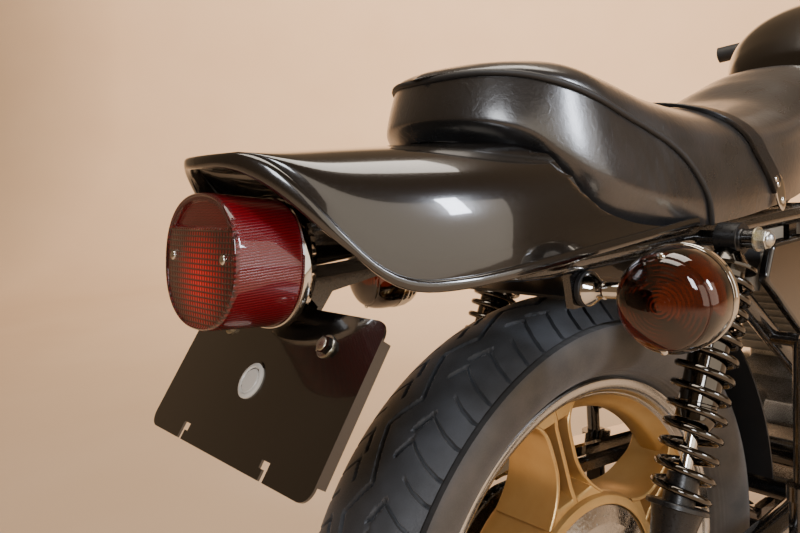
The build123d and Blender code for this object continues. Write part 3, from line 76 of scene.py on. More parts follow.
def through(table, x):
    """A smooth curve through the rows (x, value, value ...) of a table: between two rows each value follows a
    cubic whose slope at a row is the slope from the row before to the row after."""
    rows = np.asarray(table, float)
    xs, values = rows[:, 0], rows[:, 1:]
    slopes = np.gradient(values, xs, axis=0)
    x = np.clip(np.atleast_1d(np.asarray(x, float)), xs[0], xs[-1])
    i = np.clip(np.searchsorted(xs, x, side="right") - 1, 0, len(xs) - 2)
    step = (xs[i + 1] - xs[i])[:, None]
    t = (x - xs[i])[:, None] / step
    return ((2 * t ** 3 - 3 * t ** 2 + 1) * values[i] + (t ** 3 - 2 * t ** 2 + t) * step * slopes[i]
            + (3 * t ** 2 - 2 * t ** 3) * values[i + 1] + (t ** 3 - t ** 2) * step * slopes[i + 1])


print("rear axle", REAR_AXLE, "front axle", FRONT_AXLE)

# %% [markdown]
# A shape is a grid of points, worked out as whole arrays. It can wrap round in either direction and be
# capped at its ends. Several grids make one piece, whose doubles are merged and whose faces are then
# turned outwards, because a mirrored or reversed grid would otherwise be inside out.

# %% Grids, turned shapes and tubes
def grid(points, wrap_u=False, wrap_v=False, caps=()):
    """Points of shape (u, v, 3) joined by four-sided faces. The rows in caps, 0 or -1, get a flat end."""
    points = np.asarray(points, float)
    n, m = points.shape[:2]
    index = np.arange(n * m).reshape(n, m)
    ends = [index[row].tolist() for row in caps]
    if wrap_u:
        index = np.concatenate([index, index[:1]])
    if wrap_v:
        index = np.concatenate([index, index[:, :1]], axis=1)
    quads = np.stack([index[:-1, :-1], index[1:, :-1], index[1:, 1:], index[:-1, 1:]], axis=-1).reshape(-1, 4)
    return points.reshape(-1, 3), quads.tolist() + ends


def cross_frame(direction, hint=(0.0, 0.0, 1.0)):
    """Two unit vectors square to a direction and to each other."""
    direction = unit(direction)
    if abs(direction @ np.asarray(hint)) > 0.95:
        hint = (0.0, 1.0, 0.0)
    side = unit(np.cross(direction, hint))
    return side, np.cross(side, direction)


def full_turn(count):
    """Angles evenly round a circle, without the last one that meets the first."""
    return np.linspace(0, 2 * math.pi, count, endpoint=False)


def swung(angles, side, up):
    """Directions at these angles from side towards up: side cos a + up sin a."""
    return np.cos(angles)[:, None] * side + np.sin(angles)[:, None] * up


def turned(profile, start, direction, sides):
    """A profile of (radius, distance) pairs carried round an axis: point = start + direction x distance +
    radius x (side cos a + up sin a)."""
    profile = np.asarray(profile, float) * MM
    direction = unit(direction)
    round_way = swung(full_turn(sides), *cross_frame(direction))
    points = np.asarray(start) + profile[:, None, 1:2] * direction + profile[:, None, 0:1] * round_way[None]
    return grid(points, wrap_v=True)


def tube(path, radius, sides, hint):
    """A circle carried along a path: centre + radius x (side cos a + up sin a), where side is square to both
    the path and one fixed direction."""
    path = np.asarray(path, float)
    run = unit(np.gradient(path, axis=0))
    side = unit(np.cross(run, np.asarray(hint)))
    up = np.cross(side, run)
    a = full_turn(sides)
    points = path[:, None] + radius * MM * (
        np.cos(a)[None, :, None] * side[:, None] + np.sin(a)[None, :, None] * up[:, None])
    return grid(points, wrap_v=True, caps=(0, -1))


def arc_through(a, b, c, count):
    """Points on the circle through three (r, y) points, from the first past the second to the third."""
    a, b, c = (np.asarray(point, float) for point in (a, b, c))
    middle = np.linalg.solve(2 * np.array([b - a, c - a]), [b @ b - a @ a, c @ c - a @ a])
    angles = np.unwrap([math.atan2(*(point - middle)[::-1]) for point in (a, b, c)])
    turn = np.linspace(angles[0], angles[2], count)
    return middle + np.linalg.norm(a - middle) * np.stack([np.cos(turn), np.sin(turn)], axis=1)


def quarter(r0, d0, r1, d1, count):
    """Points of a quarter ellipse from (r0, d0) to (r1, d1), upright at the first and flat at the second."""
    a = np.linspace(0, math.pi / 2, count)
    return np.stack([r1 + (r0 - r1) * np.cos(a), d0 + (d1 - d0) * np.sin(a)], axis=1)


def make(name, *parts, sharp_deg=35.0):
    """One object from several grids, welded, facing outwards and shaded smooth but for its sharp edges."""
    points, faces, count = [], [], 0
    for part_points, part_faces in parts:
        points.append(part_points)
        faces.extend([[i + count for i in face] for face in part_faces])
        count += len(part_points)
    mesh = bpy.data.meshes.new(name)
    mesh.from_pydata(np.concatenate(points).tolist(), [], faces)
    shape = bmesh.new()
    shape.from_mesh(mesh)
    bmesh.ops.remove_doubles(shape, verts=shape.verts, dist=2e-6)
    bmesh.ops.dissolve_degenerate(shape, edges=shape.edges, dist=1e-7)
    bmesh.ops.recalc_face_normals(shape, faces=shape.faces)
    shape.to_mesh(mesh)
    shape.free()
    mesh.polygons.foreach_set("use_smooth", [True] * len(mesh.polygons))
    mesh.set_sharp_from_angle(angle=sharp_deg * DEG)
    made = bpy.data.objects.new(name, mesh)
    bpy.context.scene.collection.objects.link(made)
    return made


# %% [markdown]
# Finishes are node trees. Colours are written as sRGB hex values, as a paint chart gives them, and one
# function turns them linear. Patterns read Object coordinates, which are metres, so a scale of one over
# the grain's real size gives that size. One small function adds any node with its settings and links.

# %% Colours and nodes
def hue(code):
    """An sRGB hex value as a linear colour."""
    values = np.array([int(code[i:i + 2], 16) for i in (1, 3, 5)]) / 255
    linear = np.where(values <= 0.04045, values / 12.92, ((values + 0.055) / 1.055) ** 2.4)
    return (*linear.tolist(), 1.0)


def node(tree, kind, settings=None, inputs=None):
    """Adds a node. Settings are its own attributes; inputs are values, or sockets that feed it."""
    added = tree.nodes.new(kind)
    for key, value in (settings or {}).items():
        setattr(added, key, value)
    for key, value in (inputs or {}).items():
        if isinstance(value, bpy.types.NodeSocket):
            tree.links.new(value, added.inputs[key])
        else:
            added.inputs[key].default_value = value
    return added


def finish_of(name, **values):
    """A new material with a Principled surface, its fixed values set, and Object coordinates."""
    material = bpy.data.materials.new(name)
    material.use_nodes = True
    tree = material.node_tree
    surface = tree.nodes["Principled BSDF"]
    for key, value in values.items():
        surface.inputs[key.replace("_", " ")].default_value = value
    where = tree.nodes.new("ShaderNodeTexCoord").outputs["Object"]
    return material, tree, surface, where


def noise(tree, where, size_mm, detail, **inputs):
    """Noise whose blotches are about this many millimetres across."""
    inputs = {"Vector": where, "Scale": 1 / (size_mm * MM), "Detail": detail, **inputs}
    return node(tree, "ShaderNodeTexNoise", {}, inputs).outputs["Fac"]


def ranged(tree, value, low_in, high_in, low_out=0, high_out=1):
    """A value carried from one range to another, and held at its ends."""
    return node(tree, "ShaderNodeMapRange", {}, {"Value": value, "From Min": low_in, "From Max": high_in,
                                                 "To Min": low_out, "To Max": high_out}).outputs["Result"]


def blended(tree, factor, first, second):
    """Two colours mixed by a factor."""
    return node(tree, "ShaderNodeMix", {"data_type": "RGBA"}, {0: factor, 6: first, 7: second}).outputs[2]


def maths(tree, operation, first, second=0.0):
    """One step of arithmetic on values or sockets."""
    return node(tree, "ShaderNodeMath", {"operation": operation}, {0: first, 1: second}).outputs[0]


def from_axle(tree, where, axle):
    """Distance of each point from a wheel's axle, in metres."""
    offset = node(tree, "ShaderNodeVectorMath", {"operation": "SUBTRACT"}, {0: where, 1: tuple(axle)})
    flat = node(tree, "ShaderNodeVectorMath", {"operation": "MULTIPLY"}, {0: offset.outputs[0], 1: (1, 0, 1)})
    return node(tree, "ShaderNodeVectorMath", {"operation": "LENGTH"}, {0: flat.outputs[0]}).outputs["Value"]


def bumped(tree, surface, height, depth_mm, strength, under=None):
    """A height read as relief of this many millimetres, on the surface's normal."""
    inputs = {"Height": height, "Distance": depth_mm * MM, "Strength": strength}
    if under is not None:
        inputs["Normal"] = under
    relief = node(tree, "ShaderNodeBump", {}, inputs).outputs["Normal"]
    tree.links.new(relief, surface.inputs["Normal"])
    return relief


def feed(tree, socket, surface, key):
    """Links one socket to an input of the surface."""
    tree.links.new(socket, surface.inputs[key])


def tinted(tree, surface, pattern, first, second, key="Base Color"):
    """Colours an input of the surface by a pattern, between two hex values."""
    feed(tree, blended(tree, pattern, hue(first), hue(second)), surface, key)


def grained(name, colours, patch, grain, gloss, relief=None, patch_range=(0, 1), **values):
    """A finish whose colour drifts over patches, and whose gloss and relief follow a finer grain. Patch and
    grain are (millimetres, detail). Gloss is the grain's range, then the roughness at its ends. Relief is
    (depth in millimetres, strength)."""
    material, tree, surface, where = finish_of(name, **values)
    tinted(tree, surface, ranged(tree, noise(tree, where, *patch), *patch_range), *colours)
    fine = noise(tree, where, *grain)
    feed(tree, ranged(tree, fine, *gloss), surface, "Roughness")
    if relief:
        bumped(tree, surface, fine, *relief)
    return material


# %% [markdown]
# Gloss black stoving enamel covers the tail, tank, frame and plate carrier. Its clear top coat mirrors the
# room, so the body's colour hardly matters next to the coat. A little orange peel and a haze of fine
# polishing marks keep the mirror from looking computer-made.

# %% Black enamel
def black_enamel(name, peel_mm=9.0, haze=0.06):
    """Sprayed enamel: a brown-black body under a clear coat with slight orange peel."""
    material, tree, surface, where = finish_of(
        name, Roughness=0.24, IOR=1.5, Coat_Weight=1.0, Coat_Roughness=0.035, Coat_IOR=1.55)
    tinted(tree, surface, noise(tree, where, 60, 3), "#060505", "#0d0b0a")
    marks = noise(tree, where, 1.2, 4)
    feed(tree, ranged(tree, marks, 0.3, 0.8, 0.16, 0.16 + haze * 2), surface, "Roughness")
    peel = noise(tree, where, peel_mm, 1)
    relief = bumped(tree, surface, peel, 0.06, 0.35)
    tree.links.new(relief, surface.inputs["Coat Normal"])
    return material


BODY_BLACK = black_enamel("sprayed_black_enamel")
FRAME_BLACK = black_enamel("dipped_frame_enamel", 5.0, 0.1)

# %% [markdown]
# Bright parts are plated or bare metal. Chrome is a mirror, a little warm in tone; zinc is duller and
# yellows in patches; cast aluminium shows the sand of its mould, and polished aluminium is a smoother
# casting.

# %% Plated and bare metals
def bright_metal(name, colours, rough):
    """Nickel and chrome plate, or buffed metal: a mirror with faint water marks."""
    gloss = (0.35, 0.8, rough * 0.7, rough * 2.6)
    return grained(name, colours, (25, 3), (3, 5), gloss, Metallic=1.0, Roughness=rough)


def cast_aluminium(name, colour, rough, sand_mm):
    """Sand-cast alloy: a soft metal sheen broken by the mould's grain, with slightly darker patches."""
    gloss = (0.3, 0.75, rough - 0.1, rough + 0.14)
    return grained(name, (colour, "#858380"), (55, 3), (sand_mm, 3), gloss, (0.12, 0.5), (0.35, 0.75),
                   Metallic=1.0, Roughness=rough)


CHROME = bright_metal("decorative_chrome", ("#d9d7d3", "#bfbdb9"), 0.045)
BLACK_CHROME = bright_metal("smoked_chrome", ("#63605b", "#484542"), 0.06)
# electroplated zinc: pale grey metal with yellowish patches and a fine crystalline dullness
ZINC = grained("zinc_plated_steel", ("#b9bcbf", "#c9c2a4"), (12, 4), (0.9, 3), (0.3, 0.7, 0.22, 0.42),
               (0.03, 0.4), (0.35, 0.7), Metallic=1.0, Roughness=0.3)
CASTING = cast_aluminium("sand_cast_aluminium", "#9b9a97", 0.48, 1.4)
POLISHED = cast_aluminium("polished_aluminium", "#b5b3b0", 0.26, 0.9)
# machined steel: a fine grain varies its gloss, and its patches are slightly darker
STEEL = grained("ground_steel", ("#8f8d8a", "#7b7975"), (20, 3), (0.8, 4), (0.3, 0.8, 0.196, 0.42),
                (0.02, 0.3), Metallic=1.0, Roughness=0.28)
BUFFED = bright_metal("buffed_aluminium", ("#bdbbb7", "#a3a19d"), 0.13)

# %% [markdown]
# The cast wheels are painted gold, and only the rim's outer flange is polished back to bare metal. Both
# finishes are one material: the distance from the axle decides where paint ends and metal begins.

# %% Gold wheels with a polished lip
def wheel_gold(name, axle, lip_from):
    """Gold paint on a casting, bare and polished beyond lip_from millimetres from the axle."""
    material, tree, surface, where = finish_of(name, Roughness=0.34, Coat_Weight=0.25, Coat_Roughness=0.25)
    bare = ranged(tree, from_axle(tree, where, axle), (lip_from - 0.4) * MM, (lip_from + 0.4) * MM, 0, 1)
    cloud = noise(tree, where, 30, 3)
    paint = blended(tree, cloud, hue("#d2b27a"), hue("#b99459"))
    feed(tree, blended(tree, bare, paint, hue("#c4c3c0")), surface, "Base Color")
    feed(tree, ranged(tree, bare, 0, 1, 0.8, 1.0), surface, "Metallic")
    grain = noise(tree, where, 1.1, 3)
    dull = ranged(tree, grain, 0.3, 0.7, 0.3, 0.46)
    shine = ranged(tree, grain, 0.3, 0.7, 0.2, 0.27)
    feed(tree, node(tree, "ShaderNodeMix", {}, {0: bare, 2: dull, 3: shine}).outputs[0], surface, "Roughness")
    bumped(tree, surface, grain, 0.04, 0.35)
    return material


REAR_GOLD = wheel_gold("gold_painted_cast_wheel", REAR_AXLE, 223.5)
FRONT_GOLD = wheel_gold("gold_painted_front_wheel", FRONT_AXLE, 237)

# %% [markdown]
# Rubber and plastic are dull because carbon black drinks the light. The tyre is dusty on its walls and
# slightly blue on its tread; the grips are plain moulded rubber.

# %% Rubber and moulded plastic
WALL_RING_PITCH = 3.4


def tyre_rubber(name, axle, tread_from):
    """Vulcanised rubber, with a paler dusty wall and blue-grey tread beyond tread_from millimetres."""
    material, tree, surface, where = finish_of(name, Roughness=0.62, IOR=1.5, Sheen_Weight=0.12)
    radius = from_axle(tree, where, axle)
    tread = ranged(tree, radius, (tread_from - 8) * MM, (tread_from + 3) * MM, 0, 1)
    cloud = noise(tree, where, 28, 5)
    wall = blended(tree, ranged(tree, cloud, 0.3, 0.75), hue("#35312d"), hue("#4a443d"))
    crown = blended(tree, ranged(tree, cloud, 0.3, 0.75), hue("#25282c"), hue("#3b3f45"))
    feed(tree, blended(tree, tread, wall, crown), surface, "Base Color")
    fine = noise(tree, where, 1.3, 4)
    feed(tree, ranged(tree, fine, 0.3, 0.75, 0.5, 0.74), surface, "Roughness")
    grain = bumped(tree, surface, fine, 0.12, 0.5)
    # fine moulding rings beside the rim, which fade out up the wall
    rings = maths(tree, "SINE", maths(tree, "MULTIPLY", radius, 2 * math.pi / (WALL_RING_PITCH * MM)))
    near_rim = ranged(tree, radius, (tread_from - 62) * MM, (tread_from - 44) * MM, 1, 0)
    bumped(tree, surface, maths(tree, "MULTIPLY", rings, near_rim), 0.35, 0.6, grain)
    return material


def moulded(name, colours, rough, grain_mm=1.0, depth_mm=0.08):
    """Moulded rubber or plastic with a fine spark-eroded grain."""
    gloss = (0.3, 0.75, rough - 0.08, rough + 0.12)
    return grained(name, colours, (22, 3), (grain_mm, 3), gloss, (depth_mm, 0.5), Roughness=rough, IOR=1.5)


REAR_RUBBER = tyre_rubber("rear_tyre_rubber", REAR_AXLE, 306)
FRONT_RUBBER = tyre_rubber("front_tyre_rubber", FRONT_AXLE, 310)
SOFT_RUBBER = moulded("moulded_grip_rubber", ("#151515", "#1e1e1f"), 0.55)
BLACK_PLASTIC = moulded("moulded_black_plastic", ("#111112", "#1a1a1b"), 0.42)
FOAM_BLACK = moulded("oiled_filter_foam", ("#171614", "#232120"), 0.8, 2.0, 0.3)

# %% [markdown]
# The seat is covered in soft black vinyl. Its grain is small leather-like pebbles one or two millimetres
# across, which a Voronoi pattern gives, with wider shallow creases over them.

# %% Seat vinyl
def seat_vinyl():
    """Calendered vinyl: pebble grain, shallow creases, a satin top film and shinier patches."""
    material, tree, surface, where = finish_of(
        "embossed_seat_vinyl", Roughness=0.34, IOR=1.5, Sheen_Weight=0.04, Coat_Weight=1.0,
        Coat_Roughness=0.2)
    cloud = noise(tree, where, 70, 4)
    tinted(tree, surface, ranged(tree, cloud, 0.35, 0.7), "#0e0f11", "#191a1d")
    feed(tree, ranged(tree, cloud, 0.35, 0.7, 0.26, 0.38), surface, "Roughness")
    pebble = node(tree, "ShaderNodeTexVoronoi", {"feature": "F1"},
                  {"Vector": where, "Scale": 1 / (1.6 * MM)}).outputs["Distance"]
    first = bumped(tree, surface, pebble, 0.16, 0.32)
    crease = noise(tree, where, 9, 3, Distortion=0.9)
    bumped(tree, surface, crease, 1.0, 0.42, first)
    return material


VINYL = seat_vinyl()

# %% [markdown]
# The room: a pale floor that sweeps up behind the machine, so that no horizon shows, and soft boxes. Gloss
# black shows nothing but what it mirrors, so the boxes are placed for the streaks that they lay along the
# tail and the tank, and one of them washes the sweep.

# %% Studio
SWEEP_FROM, SWEEP_RISE, SWEEP_TOP, SWEEP_TURN = 5.4, 2.2, 5.0, 40 * DEG
AIR, AIR_LIGHT = "#d9b48c", 0.32


def sweep_floor():
    """Rings round the origin, in metres. From SWEEP_FROM on they rise as a quarter circle, then straight
    up, but only on the side that the camera looks at: height x (1 - smooth step of the angle away)."""
    a = np.linspace(0, math.pi / 2, 13)
    flat = np.array([0.05, 1.0, 2.0, 3.0, 4.2, SWEEP_FROM])
    out = np.concatenate([flat, SWEEP_FROM + SWEEP_RISE * np.sin(a[1:]), [SWEEP_FROM + SWEEP_RISE + 0.02]])
    up = np.concatenate([0 * flat, SWEEP_RISE * (1 - np.cos(a[1:])), [SWEEP_TOP]])
    bearing = full_turn(96)
    away = np.abs(np.mod(bearing - SWEEP_TURN + math.pi, 2 * math.pi) - math.pi)
    lift = np.clip((86 * DEG - away) / (30 * DEG), 0, 1)
    lift = lift * lift * (3 - 2 * lift)
    x, y = out[:, None] * np.cos(bearing), out[:, None] * np.sin(bearing)
    points = np.stack([x, y, up[:, None] * lift[None, :]], axis=-1)
    return grid(points[::-1], wrap_v=True, caps=(-1,))


def sweep_paint():
    """Pale paint that fades into the air's own colour towards every edge of the sweep."""
    material, tree, surface, where = finish_of("matt_floor_paint", Roughness=0.8)
    paint = blended(tree, noise(tree, where, 500, 3), hue("#cdb193"), hue("#d6bc9f"))
    ahead = node(tree, "ShaderNodeVectorRotate", {"rotation_type": "Z_AXIS"},
                 {"Vector": where, "Angle": -SWEEP_TURN})
    axes = node(tree, "ShaderNodeSeparateXYZ", {}, {0: ahead.outputs[0]})
    aside = maths(tree, "ABSOLUTE", axes.outputs[1])
    fade_up = ranged(tree, axes.outputs[2], 3.0, 4.8)
    fade_aside = ranged(tree, aside, 4.6, 6.4)
    fade_back = ranged(tree, axes.outputs[0], -3.2, -6.0)
    fade = maths(tree, "MAXIMUM", maths(tree, "MAXIMUM", fade_up, fade_aside), fade_back)
    feed(tree, blended(tree, fade, paint, (0, 0, 0, 1)), surface, "Base Color")
    feed(tree, blended(tree, fade, (0, 0, 0, 1), hue(AIR)), surface, "Emission Color")
    surface.inputs["Emission Strength"].default_value = AIR_LIGHT
    return material


floor = make("studio_floor", sweep_floor())
floor.data.materials.append(sweep_paint())

world = bpy.context.scene.world or bpy.data.worlds.new("studio")
bpy.context.scene.world = world
world.use_nodes = True
world.node_tree.nodes["Background"].inputs["Color"].default_value = hue(AIR)
world.node_tree.nodes["Background"].inputs["Strength"].default_value = AIR_LIGHT


def soft_box(name, where, towards, size, power, colour):
    """A rectangular studio lamp that faces a point."""
    light = bpy.data.lights.new(name, "AREA")
    light.shape = "RECTANGLE"
    light.size, light.size_y = size
    light.energy = power
    light.color = hue(colour)[:3]
    lamp = bpy.data.objects.new(name, light)
    bpy.context.scene.collection.objects.link(lamp)
    back = unit(np.subtract(where, towards))
    lamp.location = where
    lamp.rotation_mode = "QUATERNION"
    lamp.rotation_quaternion = Vector((-back).tolist()).to_track_quat("-Z", "Y")


# name, place, the point that it faces, size, watts and colour
soft_box("overhead", (-0.6, 0.0, 3.6), (-0.6, 0.0, 0.6), (3.4, 1.6), 120, "#fff4e6")
soft_box("wall_right", (-0.6, -4.2, 1.5), (-0.6, 0.0, 0.9), (6.5, 2.8), 110, "#f1e4d2")
soft_box("window_right", (0.6, -3.4, 2.3), (-0.7, 0.0, 0.7), (0.5, 1.1), 95, "#e8f0ff")
soft_box("window_behind", (-3.6, -2.2, 2.2), (-0.9, 0.0, 0.7), (0.9, 1.2), 75, "#f4f8ff")
soft_box("sweep_wash", (2.2, 1.9, 4.6), (6.0, 5.0, 1.6), (4.0, 1.4), 720, "#ffe9d0")

# %% [markdown]
# The camera stands low behind the tail on the right and looks forward across it. Its place and its three
# directions were worked out from the round rim, which a lens draws as an ellipse.

# %% Camera
EYE = place((-619.5, -514.6, 478.2))
RIGHTWARD = np.array([0.76693, -0.63765, -0.0723])
DOWNWARD = np.array([-0.13779, -0.05359, -0.98901])
FORWARD = np.array([0.62677, 0.76846, -0.12896])
FOCAL_PIXELS, IMAGE_WIDTH, SENSOR_MM = 758.9, 800, 36.0
camera_data = bpy.data.cameras.new("photo_camera")
camera_data.sensor_width = SENSOR_MM
camera_data.lens = FOCAL_PIXELS / IMAGE_WIDTH * SENSOR_MM
camera_data.clip_start = 0.02
camera = bpy.data.objects.new("photo_camera", camera_data)
bpy.context.scene.collection.objects.link(camera)
turn = Matrix(np.column_stack([RIGHTWARD, -DOWNWARD, -FORWARD]).tolist()).to_4x4()
camera.matrix_world = Matrix.Translation(Vector(EYE.tolist())) @ turn
bpy.context.scene.camera = camera
print("eye", EYE, "lens", camera_data.lens)


# %% [markdown]
# Every construction solid gets a finish. Where it already has the right shape it is kept, and the pieces
# below take the place of the others.

# %% Dress the construction nodes
def dress(piece, material, body, slot, *replaced):
    """Gives a new piece its finish, the body that it rides on and the solids that it stands for."""
    piece.data.materials.append(material)
    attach(piece, body)
    if replaced:
        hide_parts(*replaced)


FINISHED_NODES = [
    (FRAME_BLACK, ["main_frame", "seat_frame", "swing_arm", "lamp_strap", "silencer", "footrests",
                   "passenger_rests", "centre_stand", "side_stand", "handlebar"]),
    (BODY_BLACK, ["tail_cowl", "tail_lamp_lens", "plate_holder", "rear_signal_lenses", "tank", "side_covers",
                  "front_mudguard", "front_signal_lenses"]),
    (CHROME, ["shock_left", "shock_right", "chain_guard", "tail_lamp_base", "rear_signals", "tank_cap",
              "exhaust_pipes", "fork_legs", "headlamp_shell", "headlamp_glass", "front_signals"]),
    (BLACK_CHROME, ["instruments"]), (ZINC, ["rear_axle", "foot_levers"]), (BUFFED, ["rear_brake"]),
    (STEEL, ["chain", "front_discs", "rear_sprocket"]),
    (POLISHED, ["engine_cases", "yokes", "hand_controls"]),
    (CASTING, ["engine_barrels", "engine_head", "carburettors", "front_calipers"]),
    (VINYL, ["seat", "seat_strap"]), (BLACK_PLASTIC, ["rear_mudguard"]), (FOAM_BLACK, ["air_filters"]),
    (SOFT_RUBBER, ["grips"]), (REAR_GOLD, ["rear_wheel"]), (FRONT_GOLD, ["front_wheel"]),
    (REAR_RUBBER, ["rear_tyre"]), (FRONT_RUBBER, ["front_tyre"]),
]
for material, names in FINISHED_NODES:
    for name in names:
        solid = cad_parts[name]
        solid.data.materials.clear()
        solid.data.materials.append(material)

# %% [markdown]
# The tail cowl is a glass-fibre shell with a rolled lip. Across the machine it is a superellipse,
# |y / half width|^3.3 + |height / crown|^3.3 = 1. In plan its half width falls to nothing at the tip in
# another superellipse, and the lip climbs to the tip as a bell curve. The lip is a small profile carried
# along that edge, square to it, and an inner skin a wall's thickness inside closes the shell.

# %% Tail cowl
COWL_FRONT, COWL_SHOULDER, COWL_TIP = 80.0, -150.0, -378.0
COWL_HALF, COWL_CROWN, COWL_WALL = 126.0, 497.0, 3.0
COWL_POWER, COWL_PLAN_POWER = 3.3, 2.3
# the lip: heights of its foot and its edge, its climb to the tip, and its slope ahead of a station
LIP_FOOT, LIP_EDGE, LIP_CLIMB, LIP_SLOPE, SLOPE_FROM = 386.0, 396.0, 103.0, 0.045, -224.0
# the seat's low edge, which the cowl fits under: station x, height
SEAT_LOW_EDGE = [(-172, 501), (-163, 497), (-141, 488), (-123, 477), (-104, 455), (-80, 434), (-46, 420),
                 (17, 407), (99, 399), (171, 400), (241, 405), (312, 411), (400, 428), (480, 466), (556, 520)]


def half_cosine(angle, power):
    """cos and sin of an angle raised to 2 / power with their signs kept, which trace a superellipse."""
    c, s = np.cos(angle), np.sin(angle)
    return np.sign(c) * np.abs(c) ** (2 / power), np.sign(s) * np.abs(s) ** (2 / power)


def cowl_shell():
    """The shell's grid: stations from the front edge to the tip, rings round its outside and inside."""
    turn = np.linspace(0, math.pi / 2, 40)
    back = COWL_SHOULDER + (COWL_TIP - COWL_SHOULDER) * np.sin(turn) ** (2 / COWL_PLAN_POWER)
    straight = np.linspace(COWL_FRONT, COWL_SHOULDER, 26)[:-1]
    x = np.concatenate([straight, back])
    half = np.concatenate([np.full(len(straight), COWL_HALF), COWL_HALF * np.cos(turn)])
    half = half - 3.0 * np.clip(x / COWL_FRONT, 0, 1)
    slope = LIP_SLOPE * np.clip(x - SLOPE_FROM, 0, None)
    ahead = x - COWL_TIP + 2
    lip_low = LIP_FOOT + slope + LIP_CLIMB * np.exp(-(ahead / 62.1) ** 1.71)
    lip_top = np.minimum(LIP_EDGE + slope + LIP_CLIMB * np.exp(-(ahead / 63.0) ** 2.4), COWL_CROWN)
    lip_low = np.minimum(lip_low, lip_top - 9.5)
    slack = 26 * np.clip((-98 - x) / 24, 0, 1)
    roof = through(SEAT_LOW_EDGE, x)[:, 0] - 0.8 + slack
    roof = np.where(x < SEAT_LOW_EDGE[0][0], COWL_CROWN + 9, roof)
    run = unit(np.stack([np.gradient(x), -np.gradient(half)], axis=1))
    normal = np.stack([run[:, 1], -run[:, 0]], axis=1)
    normal = np.where((normal[:, 1] > 0)[:, None], -normal, normal)
    angle = np.linspace(0, math.pi, 73)
    c, s = half_cosine(angle, COWL_POWER)

    def body(inset):
        width = np.clip(half - inset, 0, None)
        tall = COWL_CROWN - inset - lip_top
        y = -width[:, None] * c
        z = lip_top[:, None] + np.clip(tall, 0, None)[:, None] * s
        z = np.minimum(z, roof[:, None] - inset)
        along = np.clip(x, COWL_TIP + inset, None)[:, None] + 0 * y
        return np.stack([along, y, z], axis=-1)

    # the lip's profile: distance out from the edge, and share of the way down to its foot
    lip = [(1.6, 0.02), (3.0, 0.1), (3.8, 0.26), (4.1, 0.5), (3.8, 0.78), (2.6, 0.95), (0.8, 1.0),
           (-1.2, 0.97), (-2.6, 0.86), (-3.0, 0.6), (-3.0, 0.2)]
    out, down = np.array(lip).T
    near = np.stack([
        x[:, None] + out * normal[:, :1], -half[:, None] + out * normal[:, 1:],
        lip_top[:, None] - down * (lip_top - lip_low)[:, None]], axis=-1)
    far = near * [1, -1, 1]
    outside, inside = body(0.0), body(COWL_WALL)
    ring = np.concatenate([near[:, ::-1], outside, far, inside[:, ::-1]], axis=1)
    return grid(place(ring), wrap_v=True, caps=(0,))


dress(make("tail_cowl_shell", cowl_shell(), sharp_deg=50), BODY_BLACK, "chassis", "body_black", "tail_cowl")

# %% [markdown]
# The seat is foam under tight vinyl: a tall rounded hump behind, a dip for the rider and a rise to the
# tank. One function gives a point of its skin from a station x and a place v across: |v| up to 1 is the
# top, a superellipse between the two shoulders, and |v| from 1 to 2 is the flank down to the low edge.

# %% Seat skin
SEAT_REAR, SEAT_ROUND, SEAT_FRONT, SEAT_HALF = -168.0, -40.0, 552.0, 122.0
# half width, shoulder height and crown height, each after its station x
SEAT_WIDTH = [(-210, 122), (-60, 122), (130, 124), (240, 124), (340, 116), (420, 100), (500, 84), (556, 58)]
SEAT_SHOULDER = [(-170, 552), (-160, 553), (-140, 551), (-102, 541), (-63, 527), (-4, 504), (45, 486),
                 (100, 474), (180, 468), (260, 470), (340, 484), (420, 515), (500, 545), (556, 556)]
SEAT_CROWN = [(-170, 553), (-160, 558), (-140, 563), (-100, 567), (-71, 568), (-30, 562), (45, 541),
              (120, 528), (190, 524), (260, 524), (340, 534), (420, 562), (500, 582), (556, 572)]


